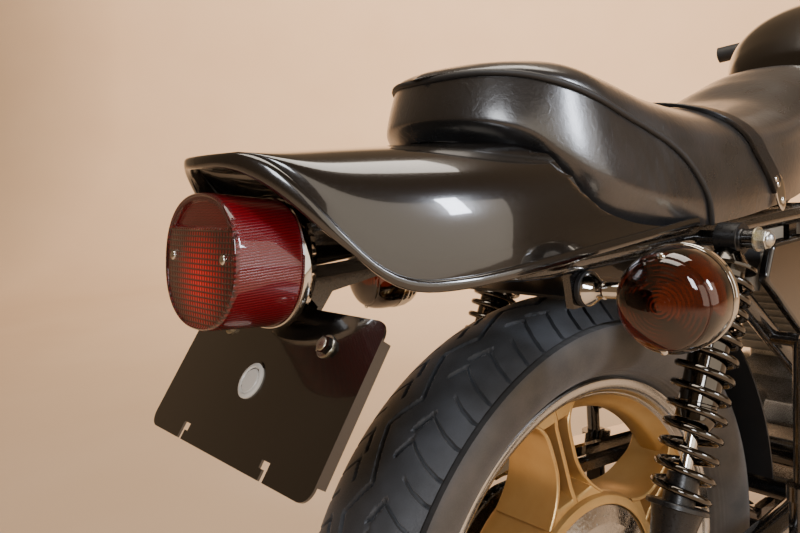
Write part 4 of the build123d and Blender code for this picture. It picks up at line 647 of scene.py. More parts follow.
def seat_skin(x, v, grow=0.0):
    """Point of the seat's cover at stations x and places v across, moved outwards by grow millimetres."""
    x, v = np.broadcast_arrays(np.asarray(x, float), np.asarray(v, float))
    tables = (SEAT_WIDTH, SEAT_LOW_EDGE, SEAT_SHOULDER, SEAT_CROWN)
    width, low_z, shoulder, crown = (through(table, x.ravel())[:, 0].reshape(x.shape) for table in tables)
    reach = SEAT_ROUND - SEAT_REAR
    shrink = np.clip((SEAT_ROUND - x) / reach, 0, 1)
    half = width * np.sqrt(1 - shrink ** 2) + grow
    crown = crown + grow
    angle = (1 + np.clip(v, -1, 1)) * math.pi / 2
    c, s = half_cosine(angle, 2.35)
    down = np.clip(np.abs(v) - 1, 0, 1)
    hump = 1 / (1 + np.exp((x - 30) / 26))
    y = -c * half
    z = np.where(down > 0, shoulder + (low_z - shoulder) * down, shoulder + (crown - shoulder) * s)
    # the hump's flank leans out to a crease two thirds of the way down, then tucks in under itself
    lean = 2.0 - 12.0 * np.clip(1 - down / 0.66, 0, 1) ** 1.3
    tuck = -17.0 * np.clip((down - 0.66) / 0.34, 0, 1) ** 1.4
    belly = 3.0 * np.sin(math.pi * np.clip(down, 0, 1))
    offset = hump * np.where(down > 0, lean + tuck, -10.0 * np.abs(c)) + (1 - hump) * belly
    normal = np.stack([-shrink / reach, y / SEAT_HALF ** 2], axis=-1)
    normal = normal / np.maximum(np.linalg.norm(normal, axis=-1, keepdims=True), 1e-9)
    x, y = x + offset * normal[..., 0], y + offset * normal[..., 1]
    # shallow wavering folds on the sides, where the hump meets the rider's dip
    pull = np.exp(-((x - 30) / 62) ** 2 - ((z - 452) / 34) ** 2) * np.clip(np.abs(y) / 90 - 0.4, 0, 1)
    fold = np.sin(2 * math.pi * (0.92 * x + 0.42 * z) / 19 + 1.3 * np.sin(x / 21) + 0.8 * np.sin(z / 13))
    y = y + np.sign(y) * 0.35 * pull * fold
    return np.stack([x, y, z], axis=-1)


def rounded_rear(count):
    """Stations of the seat's rounded rear end, closest together at its tip."""
    return SEAT_ROUND - (SEAT_ROUND - SEAT_REAR) * np.sin(np.linspace(math.pi / 2, 0, count))


def seat_cushion():
    """Rings from the rear end to the tank, each closed by a flat underside."""
    x = np.concatenate([rounded_rear(44), np.linspace(SEAT_ROUND, SEAT_FRONT, 120)[1:]])
    v = np.concatenate([np.linspace(-2, -1, 26)[:-1], np.linspace(-1, 1, 91), np.linspace(1, 2, 26)[1:]])
    skin = seat_skin(x[:, None], v[None, :])
    inner = skin[:, ::-1][:, ::12].copy()
    inner[..., 2] = skin[:, :1, 2]
    inner[..., 1] *= 0.97
    return grid(place(np.concatenate([skin, inner], axis=1)), wrap_v=True, caps=(-1,))


cushion = make("seat_cushion", seat_cushion(), sharp_deg=60)
dress(cushion, VINYL, "chassis", "seat_vinyl", "seat")

# %% [markdown]
# Piping is a cord sewn into the seam between two panels. Its path runs round the hump at the
# shoulder, then falls down the flank and ends at the low edge. It is one line of points a little outside
# the skin, with a tube carried along it.

# %% Seat piping
# station x, place v
PIPING = [(-168, 1.0), (-140, 1.0), (-100, 1.0), (-40, 1.0), (20, 1.02), (50, 1.1), (76, 1.32), (95, 1.6),
          (104, 1.84), (108, 2.0)]


def piping_path(side):
    """Half of the piping, from the rear end to the low edge: station x against place v."""
    table = np.array(PIPING)
    steps = np.linspace(0, len(table) - 1, 150)
    rows = through(np.column_stack([np.arange(len(table)), table]), steps)
    rear = rounded_rear(60)
    ahead = rows[rows[:, 0] > SEAT_ROUND + 2]
    x = np.concatenate([rear, ahead[:, 0]])
    v = np.concatenate([np.ones(len(rear)), ahead[:, 1]])
    return seat_skin(x, side * v, 1.2)


near, far = piping_path(-1), piping_path(1)
piping = tube(place(np.concatenate([near[:0:-1], far])), 3.0, 10, hint=(0.0, 0.0, 1.0))
dress(make("seat_piping", piping, sharp_deg=70), SOFT_RUBBER, "chassis", "seat_vinyl")

# %% [markdown]
# A leather strap crosses the seat, further back at the top than at its ends. It follows the seat's own
# skin a little outside it. A chromed oval plate holds each end, with two round-headed screws on it and a
# third at its upper edge.

# %% Seat strap
STRAP_HALF, STRAP_LOW_X, STRAP_TOP_X = 12.0, 254.0, 164.0
STRAP_LOW_Z, STRAP_RISE = 410.0, 112.0


def strap_middle(v):
    """Station of the strap's middle at places v: it moves back evenly with the seat's height there."""
    height = seat_skin(np.full_like(v, 200.0), v)[:, 2]
    return STRAP_LOW_X - (STRAP_LOW_X - STRAP_TOP_X) * np.clip((height - STRAP_LOW_Z) / STRAP_RISE, 0, 1)


def strap_band():
    """Rings of the strap's flat section along v: outer face, then the same points nearer the seat."""
    v = np.linspace(-1.76, 1.76, 120)
    middle = strap_middle(v)
    across = np.array([-1, -0.94, -0.5, 0, 0.5, 0.94, 1])

    def lifted(places, above):
        return seat_skin(middle[:, None] + places * STRAP_HALF, v[:, None] + 0 * places, above)

    outer = np.where((np.abs(across) > 0.97)[None, :, None], lifted(across, 4.2), lifted(across, 5.2))
    inner = lifted(across[::-1], 0.6)
    return grid(place(np.concatenate([outer, inner], axis=1)), wrap_v=True, caps=(0, -1))


def oval_plate(centre, outward, along, half_long, half_wide, thick):
    """A domed oval plate: rings of an ellipse that shrink as they rise."""
    outward, along = unit(outward), unit(along)
    other = np.cross(outward, along)
    a = full_turn(40)
    size = np.array([1.0, 1.0, 0.93, 0.75, 0.4, 0.0])
    rise = np.array([0.0, 0.55, 0.9, 1.0, 1.0, 1.0]) * thick
    rim = half_long * np.cos(a)[:, None] * along + half_wide * np.sin(a)[:, None] * other
    points = np.asarray(centre) + size[:, None, None] * rim[None] + rise[:, None, None] * outward
    base = np.asarray(centre) + 0 * rim[None]
    return grid(place(np.concatenate([base, points])), wrap_v=True)


STRAP_LEATHER = moulded("edge_dyed_strap", ("#0b0b0c", "#131314"), 0.34, 1.4, 0.1)


def dome_screw(centre, outward, r, tall):
    """A round-headed screw: radius against height along a quarter ellipse, in millimetres."""
    profile = np.concatenate([[(0.0, -0.5), (r, -0.5)], quarter(r, 0, 0, tall, 7)])
    return turned(profile, place(centre), outward, 20)


dress(make("seat_strap_band", strap_band()), STRAP_LEATHER, "chassis", "seat_vinyl", "seat_strap")
plates = []
for side in (-1, 1):
    plates.append(oval_plate((247, side * 129.5, 421), (0, side, 0), (-0.35, 0, 0.93), 23, 10.5, 2.4))
    plates.append(dome_screw((251, side * 131.6, 411), (0, side, 0), 4.2, 2.2))
    for v in (1.60, 1.50):
        spot = seat_skin(strap_middle(np.array([v])), np.array([side * v]), 5.0)[0]
        plates.append(dome_screw(spot, (0, side, 0.2), 4.0, 1.6))
dress(make("strap_plates", *plates), CHROME, "chassis", "chrome")

# %% [markdown]
# The tank is one smooth surface through a few sections, from the seat's nose towards the steering head. Each
# section is a superellipse above its widest line, and tucks in below it.

# %% Tank
# station x, half width, and the heights of the underside, the widest line and the crown
TANK = [(556, 84, 494, 562, 612), (620, 118, 466, 580, 662), (720, 136, 446, 596, 698),
        (840, 142, 436, 602, 707), (950, 136, 438, 600, 696), (1020, 116, 456, 598, 676),
        (1060, 90, 486, 590, 650)]
TANK_REAR, TANK_FRONT, TANK_ROUND = 557, 1059, 22


def tank_shell():
    """Sections across the machine, drawn in to a rounded end at both ends."""
    ends = 1 - np.cos(np.linspace(0, math.pi / 2, 9))
    x = np.concatenate([
        TANK_REAR + TANK_ROUND * ends, np.linspace(584, 1032, 60), TANK_FRONT - TANK_ROUND * ends[::-1]])
    from_end = np.minimum((x - TANK_REAR) / TANK_ROUND, (TANK_FRONT - x) / TANK_ROUND).clip(0, 1)
    squeeze = 0.72 + 0.28 * np.sqrt(np.clip(1 - (1 - from_end) ** 2, 0, 1))
    half, low, mid, crown = through(TANK, x).T
    half, crown, low = half * squeeze, mid + (crown - mid) * squeeze, mid + (low - mid) * squeeze
    a = np.linspace(0, math.pi, 65)
    c, s = half_cosine(a, 2.5)
    top = np.stack([-half[:, None] * c, mid[:, None] + (crown - mid)[:, None] * s], axis=-1)
    d = np.linspace(0, 1, 14)[1:]
    tuck = 1 - 0.17 * d ** 2.4
    drop = (low - mid)[:, None] * np.sin(d * math.pi / 2)
    right = np.stack([half[:, None] * tuck, mid[:, None] + drop], axis=-1)
    left = right[:, ::-1] * [-1, 1]
    ring = np.concatenate([top, right, left], axis=1)
    along = np.broadcast_to(x[:, None, None], ring.shape[:2] + (1,))
    return grid(place(np.concatenate([along, ring], axis=-1)), wrap_v=True, caps=(0, -1))


dress(make("tank_shell", tank_shell(), sharp_deg=55), BODY_BLACK, "chassis", "body_black", "tank")

# %% [markdown]
# The tread is cut into the tyre's crown as real grooves. On the unrolled tread, given as (way round, way
# across) in millimetres, a pitch holds two hooked grooves and a short one on each side, and one bend of a
# wave along the middle. The mesh leans with the grooves: its columns run along them, closer at their
# walls, so an edge stays crisp. The left half is the right one mirrored, and moved round by about a third
# of a pitch.

# %% Tyres
TREAD_PITCHES = 24
# a hooked groove's course: way across, way round
HOOK = [(62, -3.4), (48, 1.5), (40, 6.4), (32, 11.5), (24.5, 18)]
HOOK_AT, HOOK_FROM = (0, 32.5, 62), (24.5, 29, 37.5)
HOOK_STARTS = [((0, 17.3), (18, 24.5)), ((27, 20.5), (47.4, 29))]
WAVE = [(-30.1, 8.7), (24.4, -10.5), (56.9, 8.7)]
MIRROR_SHIFT = -32.4
GROOVE_HALF, GROOVE_WALL = 1.7, 1.0


def hook_shift(w):
    """How far round a hooked groove has moved at a way across the tread, on either side."""
    table = np.array(HOOK[::-1])
    return np.interp(np.abs(w), table[:, 0], table[:, 1])


def line_distance(s, w, start, end, pitch):
    """Distance of points to a line that repeats at every pitch round the tyre."""
    (a0, b0), (a1, b1) = start, end
    s = np.mod(s - a0 + pitch / 2, pitch) - pitch / 2
    best = np.full(np.broadcast(s, w).shape, 99.0)
    for shift in (-pitch, 0, pitch):
        along = (s + shift) * (a1 - a0) + (w - b0) * (b1 - b0)
        t = np.clip(along / ((a1 - a0) ** 2 + (b1 - b0) ** 2), 0, 1)
        best = np.minimum(best, np.hypot(s + shift - t * (a1 - a0), w - b0 - t * (b1 - b0)))
    return best


def tread_cut(s, w, pitch, reach):
    """0 to 1 for each point of the unrolled tread: how deep it lies in a groove."""
    near = np.abs(w)
    s_side = s - np.where(w < 0, MIRROR_SHIFT, 0)
    far = np.full(np.broadcast(s, w).shape, 99.0)
    for place_round, begins in zip(HOOK_AT, HOOK_FROM):
        along = np.mod(s_side - hook_shift(w) - place_round + pitch / 2, pitch) - pitch / 2
        miss = np.hypot(np.abs(along) * 0.86, np.maximum(begins - near, 0))
        far = np.minimum(far, miss)
    for start, end in HOOK_STARTS:
        far = np.minimum(far, line_distance(s_side, near, start, end, pitch))
    for start, end in zip(WAVE, WAVE[1:]):
        far = np.minimum(far, line_distance(s, w, start, end, pitch))
    depth = np.clip((GROOVE_HALF + GROOVE_WALL / 2 - far) / GROOVE_WALL, 0, 1)
    return depth * np.clip((reach - near) / 7, 0.0, 1)


def tread_columns(pitch):
    """Places round one pitch, close together at each hooked groove's walls."""
    places = []
    for at, after in zip(HOOK_AT, HOOK_AT[1:] + (HOOK_AT[0] + pitch,)):
        walls = [at - 2.55, at - 1.4, at + 1.4, at + 2.55]
        between = np.linspace(walls[-1], after - 2.55, 9)[1:-1]
        places += walls + between.tolist()
    return np.array(places)


def tyre_shell(axle, r, w, flange, half, cut_mm):
    """The tyre's section carried round the axle, with the tread's grooves sunk along its own normal."""
    hw = w / 2
    seat_r, bead, shoulder_r = flange - 11.9, half - 7.3, r - 0.36 * hw
    pitch = 2 * math.pi * r / TREAD_PITCHES
    wall = arc_through((flange + 1, bead), ((flange + shoulder_r) / 2, hw), (shoulder_r, hw * 0.93), 16)
    edge, sag = hw * 0.93, r - shoulder_r
    round_r = (edge ** 2 + sag ** 2) / (2 * sag)
    reach = round_r * math.asin(edge / round_r)
    rows = np.concatenate([np.linspace(-reach, -36, 12), np.linspace(-34, -15, 14), np.linspace(-14, 14, 29),
                           np.linspace(15, 34, 14), np.linspace(36, reach, 12)])
    turn = -rows / round_r
    crown = np.stack([r - round_r + round_r * np.cos(turn), round_r * np.sin(turn)], axis=1)
    normal = np.stack([np.cos(turn), np.sin(turn)], axis=1)
    columns = (np.arange(TREAD_PITCHES)[:, None] * pitch + tread_columns(pitch)[None, :]).ravel()
    lean = hook_shift(rows) + MIRROR_SHIFT * np.clip((24.5 - rows) / 49, 0, 1)
    around = columns[:, None] + lean[None, :]
    cut = tread_cut(around, rows[None, :], pitch, reach + 1) * cut_mm
    tread = crown[None] - cut[..., None] * normal[None]
    count = len(columns)
    inside = np.array([(seat_r, bead), (seat_r, 0), (seat_r, -bead)])
    left, right = wall[:-1], wall[::-1][1:] * [1, -1]
    walls = np.concatenate([right, inside[::-1], left])
    flat = np.broadcast_to(walls, (count,) + walls.shape)
    shape = np.concatenate([tread[:, ::-1], flat], axis=1)
    wall_lean = np.linspace(lean[0], lean[-1], len(walls))
    ends = np.concatenate([around[:, ::-1], columns[:, None] + wall_lean], axis=1)
    radius, y = shape[..., 0], shape[..., 1].copy()
    # two moulding rings stand in the wall near the rim, and one below the shoulder
    for ring_r in (flange + 9, flange + 14, shoulder_r - 5):
        y += np.sign(y) * 0.5 * np.exp(-((radius - ring_r) / 1.3) ** 2) * (np.abs(y) > bead + 0.5)
    angle = ends / r
    return grid(np.stack([radius * np.sin(angle), y, radius * np.cos(angle)], axis=-1) * MM + axle,
                wrap_u=True, wrap_v=True)


# the radius of each rim's flange and half of the rim's width
REAR_RIM, FRONT_RIM = {"flange": 244, "half": 43}, {"flange": 257, "half": 35}
rear_tyre = make("rear_tyre_tread", tyre_shell(REAR_AXLE, r=332, w=130, cut_mm=4.5, **REAR_RIM), sharp_deg=38)
dress(rear_tyre, REAR_RUBBER, "rear_wheel", "tyre_rubber", "rear_tyre")
front_tyre = make(
    "front_tyre_tread", tyre_shell(FRONT_AXLE, r=331, w=100, cut_mm=4.0, **FRONT_RIM), sharp_deg=38)
dress(front_tyre, FRONT_RUBBER, "front_wheel", "tyre_rubber", "front_tyre")

# %% [markdown]
# A cast wheel is a rim, a hub and five channel spokes. A spoke is a stack of sections, one for each
# distance from the axle: two outer ribs and a middle one on both faces, with pockets between them whose
# walls lean for the mould. The ribs spread into the hub and into the rim, and the pockets run out there.

# %% Cast wheels
SPOKE_COUNT, SPOKE_TURN = 5, -8 * DEG


def spoke_section(half_width, half_depth, pocket):
    """One closed section of a spoke, across and along the axle, with its pockets' depth as a share."""
    rib, web, bevel, draft = 5.0, 5.0, 1.1, 1.6
    floor = half_depth - (half_depth - web) * pocket
    wide = half_width - rib
    face = [(half_width, half_depth - bevel), (half_width - bevel, half_depth), (wide + bevel, half_depth),
            (wide, half_depth - bevel), (wide - draft * pocket, floor + 2.5 * pocket),
            (wide - (draft + 2.5) * pocket, floor), ((draft + 4.5) * pocket + 2.6, floor),
            (draft * pocket + 2.6, floor + 2.5 * pocket), (2.6, half_depth - bevel - 1.5 * pocket),
            (1.5, half_depth - 1.5 * pocket)]
    face = np.array(face)
    front = np.concatenate([face, face[::-1] * [-1, 1]])
    return np.concatenate([front, front[::-1] * [1, -1]])


def spoke_shell(centre, direction, hub_r, hub_half, flange, half):
    """Sections from inside the hub to inside the rim."""
    inner, outer = hub_r - 8, flange - 20
    waist, middle = 16.5, (hub_r + flange) / 2 - 10
    side = np.array([direction[2], 0.0, -direction[0]])
    far = np.linspace(0, 1, 42)
    reach = inner + (outer - inner) * far
    root = np.clip((middle - reach) / (middle - inner), 0, 1) ** 2.2 * (hub_r * 0.2 + 6)
    tip = np.clip((reach - middle) / (outer - middle), 0, 1) ** 4.5 * 26
    width = waist + root + tip + 3.0 * far
    depth = np.interp(reach, [inner, middle, outer], [hub_half - 6, half - 11.5, half - 18])
    pocket = np.clip((reach - hub_r - 4) / 14, 0, 1) * np.clip((flange - 33 - reach) / 10, 0, 1)
    rings = []
    for station, a, b, c in zip(reach, width, depth, pocket * pocket * (3 - 2 * pocket)):
        ring = spoke_section(a, b, c)
        offset = station * direction + ring[:, :1] * side + ring[:, 1:] * np.array([0, 1, 0])
        rings.append(centre + offset * MM)
    return grid(np.array(rings), wrap_v=True, caps=(0, -1))


def closed_ring(start, outward, profile, sides=40):
    """A turned profile whose last point joins its first."""
    points, faces = turned(profile, start, outward, sides)
    last = (len(profile) - 1) * sides
    faces = faces + [[last + i, last + (i + 1) % sides, (i + 1) % sides, i] for i in range(sides)]
    return points, faces


def cast_wheel_parts(centre, flange, half, hub_r, hub_half, bore, recess_r=0.0):
    """Rim, hub and spokes of one wheel as closed shells."""
    # points (r, y) of the lip as drops below the flange's edge and its face, then the barrel under it
    lip = [(0, 4.4), (0, 1.6), (1.2, 0.3), (3, 0), (8, 0.6), (12, 2.4), (15, 6), (16.4, 10.4), (17.2, 11.4),
           (18.2, 11.6), (19.5, 13), (23, 18.5), (30, 25)]
    lip = [(flange - r, half - y) for r, y in lip] + [(flange - 35, 14), (flange - 37, 9)]
    seat = [(flange - 12.4, half - 8.6), (flange - 12.4, half - 15), (flange - 30, 14)]
    front = np.array(seat[::-1] + lip)
    rim = np.concatenate([front, front[::-1] * [1, -1]])
    parts = [closed_ring(centre, (0, 1, 0), rim, 160)]
    floor = hub_half - 14.5 if recess_r else hub_half
    face = [(bore, hub_half)]
    if recess_r:
        face = [(recess_r, floor), (recess_r, hub_half - 1), (recess_r + 1, hub_half)]
    hub = [(bore, -floor)] + [(a, -b) for a, b in face]
    rim_of_hub = np.array([
        (hub_r - 9, hub_half), (hub_r - 3, hub_half - 2), (hub_r, hub_half - 8), (hub_r - 1, hub_half - 22)])
    hub += [*(rim_of_hub * [1, -1]), *rim_of_hub[::-1], (bore, hub_half)]
    parts.append(closed_ring(centre, (0, 1, 0), hub, 96))
    for index in range(SPOKE_COUNT):
        turn = index * 2 * math.pi / SPOKE_COUNT + SPOKE_TURN
        direction = np.array([math.sin(turn), 0.0, math.cos(turn)])
        parts.append(spoke_shell(centre, direction, hub_r, hub_half, flange, half))
    return parts


rear_wheel = make("rear_cast_wheel", *cast_wheel_parts(
    REAR_AXLE, hub_r=120, hub_half=44, bore=13, recess_r=107.4, **REAR_RIM), sharp_deg=32)
dress(rear_wheel, REAR_GOLD, "rear_wheel", "wheel_gold", "rear_wheel")
front_wheel = make("front_cast_wheel", *cast_wheel_parts(
    FRONT_AXLE, hub_r=58, hub_half=40, bore=13, **FRONT_RIM), sharp_deg=32)
dress(front_wheel, FRONT_GOLD, "front_wheel", "wheel_gold", "front_wheel")

# %% [markdown]
# The tail lamp leans back by 8 degrees. Its lens is a deep oval cup in dark red plastic: an upper window
# with a fine chequer, set back behind a step, below it a field of small prisms, and faint ribs round the
# wall. The pattern is in the plastic behind a smooth outer face, so it bends the body's normal while the
# coat keeps its own.

# %% Tail lamp
LAMP_TILT = 8 * DEG
LAMP_RIGHT = np.array([0.0, -1.0, 0.0])
LAMP_UP = np.array([math.sin(LAMP_TILT), 0.0, math.cos(LAMP_TILT)])
LAMP_BACK = np.array([-math.cos(LAMP_TILT), 0.0, math.sin(LAMP_TILT)])
LAMP_CENTRE = np.array([-330.0, 0.0, 413.5])
WINDOW_FROM = 25.0
PRISM_PITCH, RIB_PITCH = 3.9, 1.9


def on_lamp(right, up, back):
    """A point of the lamp, in millimetres right of, above and behind the middle of its base."""
    right, up, back = (np.asarray(value, float)[..., None] for value in (right, up, back))
    return LAMP_CENTRE + right * LAMP_RIGHT + up * LAMP_UP + back * LAMP_BACK


def lamp_rings(rows, sides=144):
    """Ovals |x / half width|^2.3 + |z / half height|^2.3 = 1 of (half width, half height, depth) rows."""
    c, s = half_cosine(full_turn(sides), 2.3)
    rows = np.asarray(rows, float)
    return rows[:, :1] * c, rows[:, 1:2] * s, rows[:, 2:3] + 0 * c


def lamp_lens():
    """The cup's wall, its rounded edge, and the face with its window a step further in."""
    wall = [(52, 44, 5.3), (57.8, 48.8, 5.3), (57.9, 49, 8), (58, 50, 54), (57.9, 49.9, 56.5),
            (57.2, 49.3, 58), (56.0, 48.4, 58.7), (54.8, 47.4, 58.4), (54.2, 46.9, 57.6)]
    ratio = np.concatenate([[0.985, 0.955, 0.95, 0.925, 0.92], np.linspace(0.905, 0, 44)])
    face = [(54.2 * k, 46.9 * k, 57.6 + 2.6 * (1 - k * k)) for k in ratio]
    right, up, back = lamp_rings(wall + face, 168)
    share = np.concatenate([np.full(len(wall), 2.0), ratio])[:, None]
    window = np.clip((up - WINDOW_FROM) / 0.9 + 0.5, 0, 1) * np.clip((0.955 - share) / 0.03, 0, 1)
    step = np.exp(-((up - WINDOW_FROM + 1.6) / 0.9) ** 2) * (share < 0.96)
    back = back - 3.2 * window + 0.8 * step
    return grid(place(on_lamp(right, up, back)), wrap_v=True, caps=(0,))


def red_lens():
    """Dark red acrylic, with a painted glow in the middle of its lower field. Patterns are waves in
    millimetres: prisms on the face, a chequer in the window and ribs on the wall."""
    material, tree, surface, where = finish_of(
        "moulded_red_lens", Roughness=0.3, IOR=1.49, Specular_IOR_Level=0.25, Coat_Weight=1.0,
        Coat_Roughness=0.02, Coat_IOR=1.49)
    axes = node(tree, "ShaderNodeSeparateXYZ", {}, {0: where})
    x, y, z = axes.outputs[0], axes.outputs[1], axes.outputs[2]

    def wave(value, period_mm):
        return maths(tree, "SINE", maths(tree, "MULTIPLY", value, 2 * math.pi / (period_mm * MM)))

    def cell(value, pitch_mm):
        return maths(tree, "ABSOLUTE", wave(value, 2 * pitch_mm))

    # how far each point lies behind the corner where the wall turns into the face
    corner = place(on_lamp(0.0, 0.0, 54.0))
    back_x = maths(tree, "MULTIPLY", x, float(LAMP_BACK[0]))
    back_z = maths(tree, "MULTIPLY", z, float(LAMP_BACK[2]))
    back_way = maths(tree, "ADD", maths(tree, "SUBTRACT", back_x, float(corner @ LAMP_BACK)), back_z)
    face = ranged(tree, back_way, 0.0, 0.004)
    window_z = float(place(on_lamp(0.0, WINDOW_FROM, 60.0))[2])
    window = ranged(tree, z, window_z - 0.0004, window_z + 0.0004, 0, 1)
    both_cells = maths(tree, "MINIMUM", cell(y, PRISM_PITCH), cell(z, PRISM_PITCH))
    prisms = maths(tree, "SUBTRACT", maths(tree, "MULTIPLY", both_cells, 2.0), 1.0)
    chequer = maths(tree, "MULTIPLY", wave(y, RIB_PITCH), wave(z, RIB_PITCH))
    wall = maths(tree, "MULTIPLY", wave(z, RIB_PITCH), 0.3)
    pattern = node(tree, "ShaderNodeMix", {}, {0: window, 2: prisms, 3: chequer}).outputs[0]
    pattern = node(tree, "ShaderNodeMix", {}, {0: face, 2: wall, 3: pattern}).outputs[0]
    # a painted glow and painted highlight: the middle of the lower field is coloured bright red and given a
    # faint light of its own, as the reflector behind it would light it, and its edge is left dark
    middle = tuple(place(on_lamp(6.0, -12.0, 60.0)).tolist())
    away = node(tree, "ShaderNodeVectorMath", {"operation": "DISTANCE"}, {0: where, 1: middle})
    near = ranged(tree, away.outputs["Value"], 0.004, 0.04, 1, 0)
    painted_glow = maths(tree, "MULTIPLY", near, maths(tree, "SUBTRACT", 1.0, window))
    cells = ranged(tree, pattern, -0.5, 0.7, 0, 1)
    deep = blended(tree, cells, hue("#1c0102"), hue("#560509"))
    painted_lit_red = blended(tree, cells, hue("#3a0205"), hue("#c60616"))
    side = blended(tree, cells, hue("#40030a"), hue("#740a14"))
    feed(tree, blended(tree, face, side, blended(tree, painted_glow, deep, painted_lit_red)), surface, "Base Color")
    # painted glow: the bright cells of the lower field give out a faint red light
    tinted(tree, surface, maths(tree, "MULTIPLY", painted_glow, cells), "#0a0001", "#f0061c", "Emission Color")
    surface.inputs["Emission Strength"].default_value = 0.3
    relief = node(tree, "ShaderNodeBump", {}, {"Height": pattern, "Distance": 0.5 * MM, "Strength": 0.8})
    tree.links.new(relief.outputs["Normal"], surface.inputs["Normal"])
    smooth = node(tree, "ShaderNodeNewGeometry").outputs["Normal"]
    tree.links.new(smooth, surface.inputs["Coat Normal"])
    return material


RED_LENS = red_lens()
dress(make("tail_lamp_cup", lamp_lens(), sharp_deg=50), RED_LENS, "chassis", "red_lens", "tail_lamp_lens")

lamp_trim = []
for side in (-1, 1):
    lamp_trim.append(dome_screw(on_lamp(side * 41.0, 3.0, 59.2), LAMP_BACK, 3.6, 1.5))
right, up, back = lamp_rings([
    (54, 45, -8), (55.5, 46.5, -7.6), (60, 50, -1.2), (61, 51, 0), (61.2, 51.2, 3.6), (60.4, 50.4, 5.2),
    (58.6, 49.6, 5.6), (58.1, 49.1, 4.6), (50, 42, 4.6)])
lamp_trim.append(grid(place(on_lamp(right, up, back)), wrap_v=True, caps=(0, -1)))
dress(make("tail_lamp_ring", *lamp_trim), CHROME, "chassis", "chrome", "tail_lamp_base")

# %% [markdown]
# A turn signal is a chromed shell with a deep smoked lens: a straight band, a crease, and a shallow dome.
# Behind the lens are a dished reflector and an amber bulb with a painted glow. The lens is a wall two
# millimetres thick that really lets light through, so the bulb and the dish are seen in it. The rear pair is
# turned outwards.

# %% Turn signals
def lens_glass(name, colours, rough):
    """Clear moulded plastic that takes its colour from the light passing its wall."""
    gloss = (0.3, 0.8, rough, rough * 2)
    return grained(name, colours, (18, 2), (2, 3), gloss, Roughness=rough, IOR=1.49, Transmission_Weight=1.0,
                   Coat_Weight=0.6, Coat_Roughness=0.02)


def amber_bulb_painted_glow():
    """Amber glass with a painted glow: light of its own stands for the light that the lens gathers on it."""
    material, tree, surface, where = finish_of(
        "amber_bulb_painted_glow", Roughness=0.2, Coat_Weight=1.0, Emission_Strength=2.2)
    swirl = noise(tree, where, 5, 3, Distortion=1.2)
    tinted(tree, surface, swirl, "#b23a06", "#f0790f")
    # painted glow: the amber light that the bulb gives out follows the same swirl
    tinted(tree, surface, swirl, "#8a2400", "#ff7a10", "Emission Color")
    return material


SMOKED = lens_glass("smoked_amber_lens", ("#4c3228", "#3d2820"), 0.03)
PAINTED_GLOW_AMBER = amber_bulb_painted_glow()


def signal_pieces(centre, facing, root):
    """Shell with stalk, lens, bulb and rubber foot of one lamp, in millimetres from the rear axle."""
    start, facing = place(centre), unit(facing)
    shell = np.concatenate([
        [(0, -12), (14, -11.5), (28, -7), (38, -2), (41.6, 0.8), (42.4, 1.8), (43.8, 1.8), (44.2, 1),
         (44.2, -2.4), (43.3, -3.2), (43.3, -5), (43.9, -5.6), (43.9, -9.4), (43, -10.4)],
        quarter(42.6, -12, 0, -33, 14)])
    outer = np.concatenate([
        [(42.6, 0.2), (43.3, 2), (43.3, 9), (42.9, 17), (41.9, 24), (40.0, 30), (38.2, 32.8), (37.4, 33.4)],
        quarter(36.7, 33.6, 0, 44, 14)])
    inner = outer[::-1] * [0.953, 1] - [0, 1.9]
    rings = np.linspace(0.5, 34, 50)
    ripple = 40.2 - 9.2 * (rings / 35) ** 2 - 0.3 * np.cos(rings * 2 * math.pi / 3.3)
    inner = np.concatenate([np.stack([rings, ripple], axis=1), inner[inner[:, 0] > 34.8]])
    lens = np.concatenate([outer, [(0, 39.8)], inner[:-1], [(40.6, 0.2)]])
    middle = np.asarray(centre) - facing * 18
    away = np.array([0.0, math.copysign(1.0, root[1]), 0.0])
    foot = np.asarray(root) + away * 16
    cone = [(0, 5), (15, 5), (15.4, 7), (14.4, 9), (10, 14.5), (8.3, 18), (8, 22), (0, 22)]
    chrome = [
        turned(shell, start, facing, 72), turned(cone, place(root), away, 40),
        tube(place(np.linspace(foot, middle, 8)), 7.6, 24, hint=(0.0, 0.0, 1.0))]
    for sign in (-1, 1):
        spot = np.asarray(centre) + facing * 33.0 + np.array([0, 0, sign * 37.2])
        chrome.append(dome_screw(spot, facing, 3.4, 1.8))
    rubber = turned([(0, 0), (15.8, 0), (16, 1), (16, 4.4), (15.2, 5.2), (0, 5.2)], place(root), away, 40)
    bulb = turned(np.concatenate([[(0, -6), (6, -6), (7, 4)], quarter(8.5, 12, 0, 22, 8)]), start, facing, 32)
    return chrome, turned(lens, start, facing, 72), bulb, rubber


def signal_set(body, word, replaced, lamps):
    """Both lamps of one end of the machine, as four named pieces."""
    sets = [signal_pieces(*lamp) for lamp in lamps]
    dress(make(f"{word}_signal_shells", *sets[0][0], *sets[1][0]), CHROME, body, "chrome", replaced)
    dress(make(f"{word}_signal_glass", sets[0][1], sets[1][1], sharp_deg=20), SMOKED, body, "amber_lens",
          f"{replaced[:-1]}_lenses")
    dress(make(f"{word}_signal_bulbs", sets[0][2], sets[1][2]), PAINTED_GLOW_AMBER, body, "amber_lens")
    dress(make(f"{word}_signal_feet", sets[0][3], sets[1][3]), SOFT_RUBBER, body, "soft_rubber")


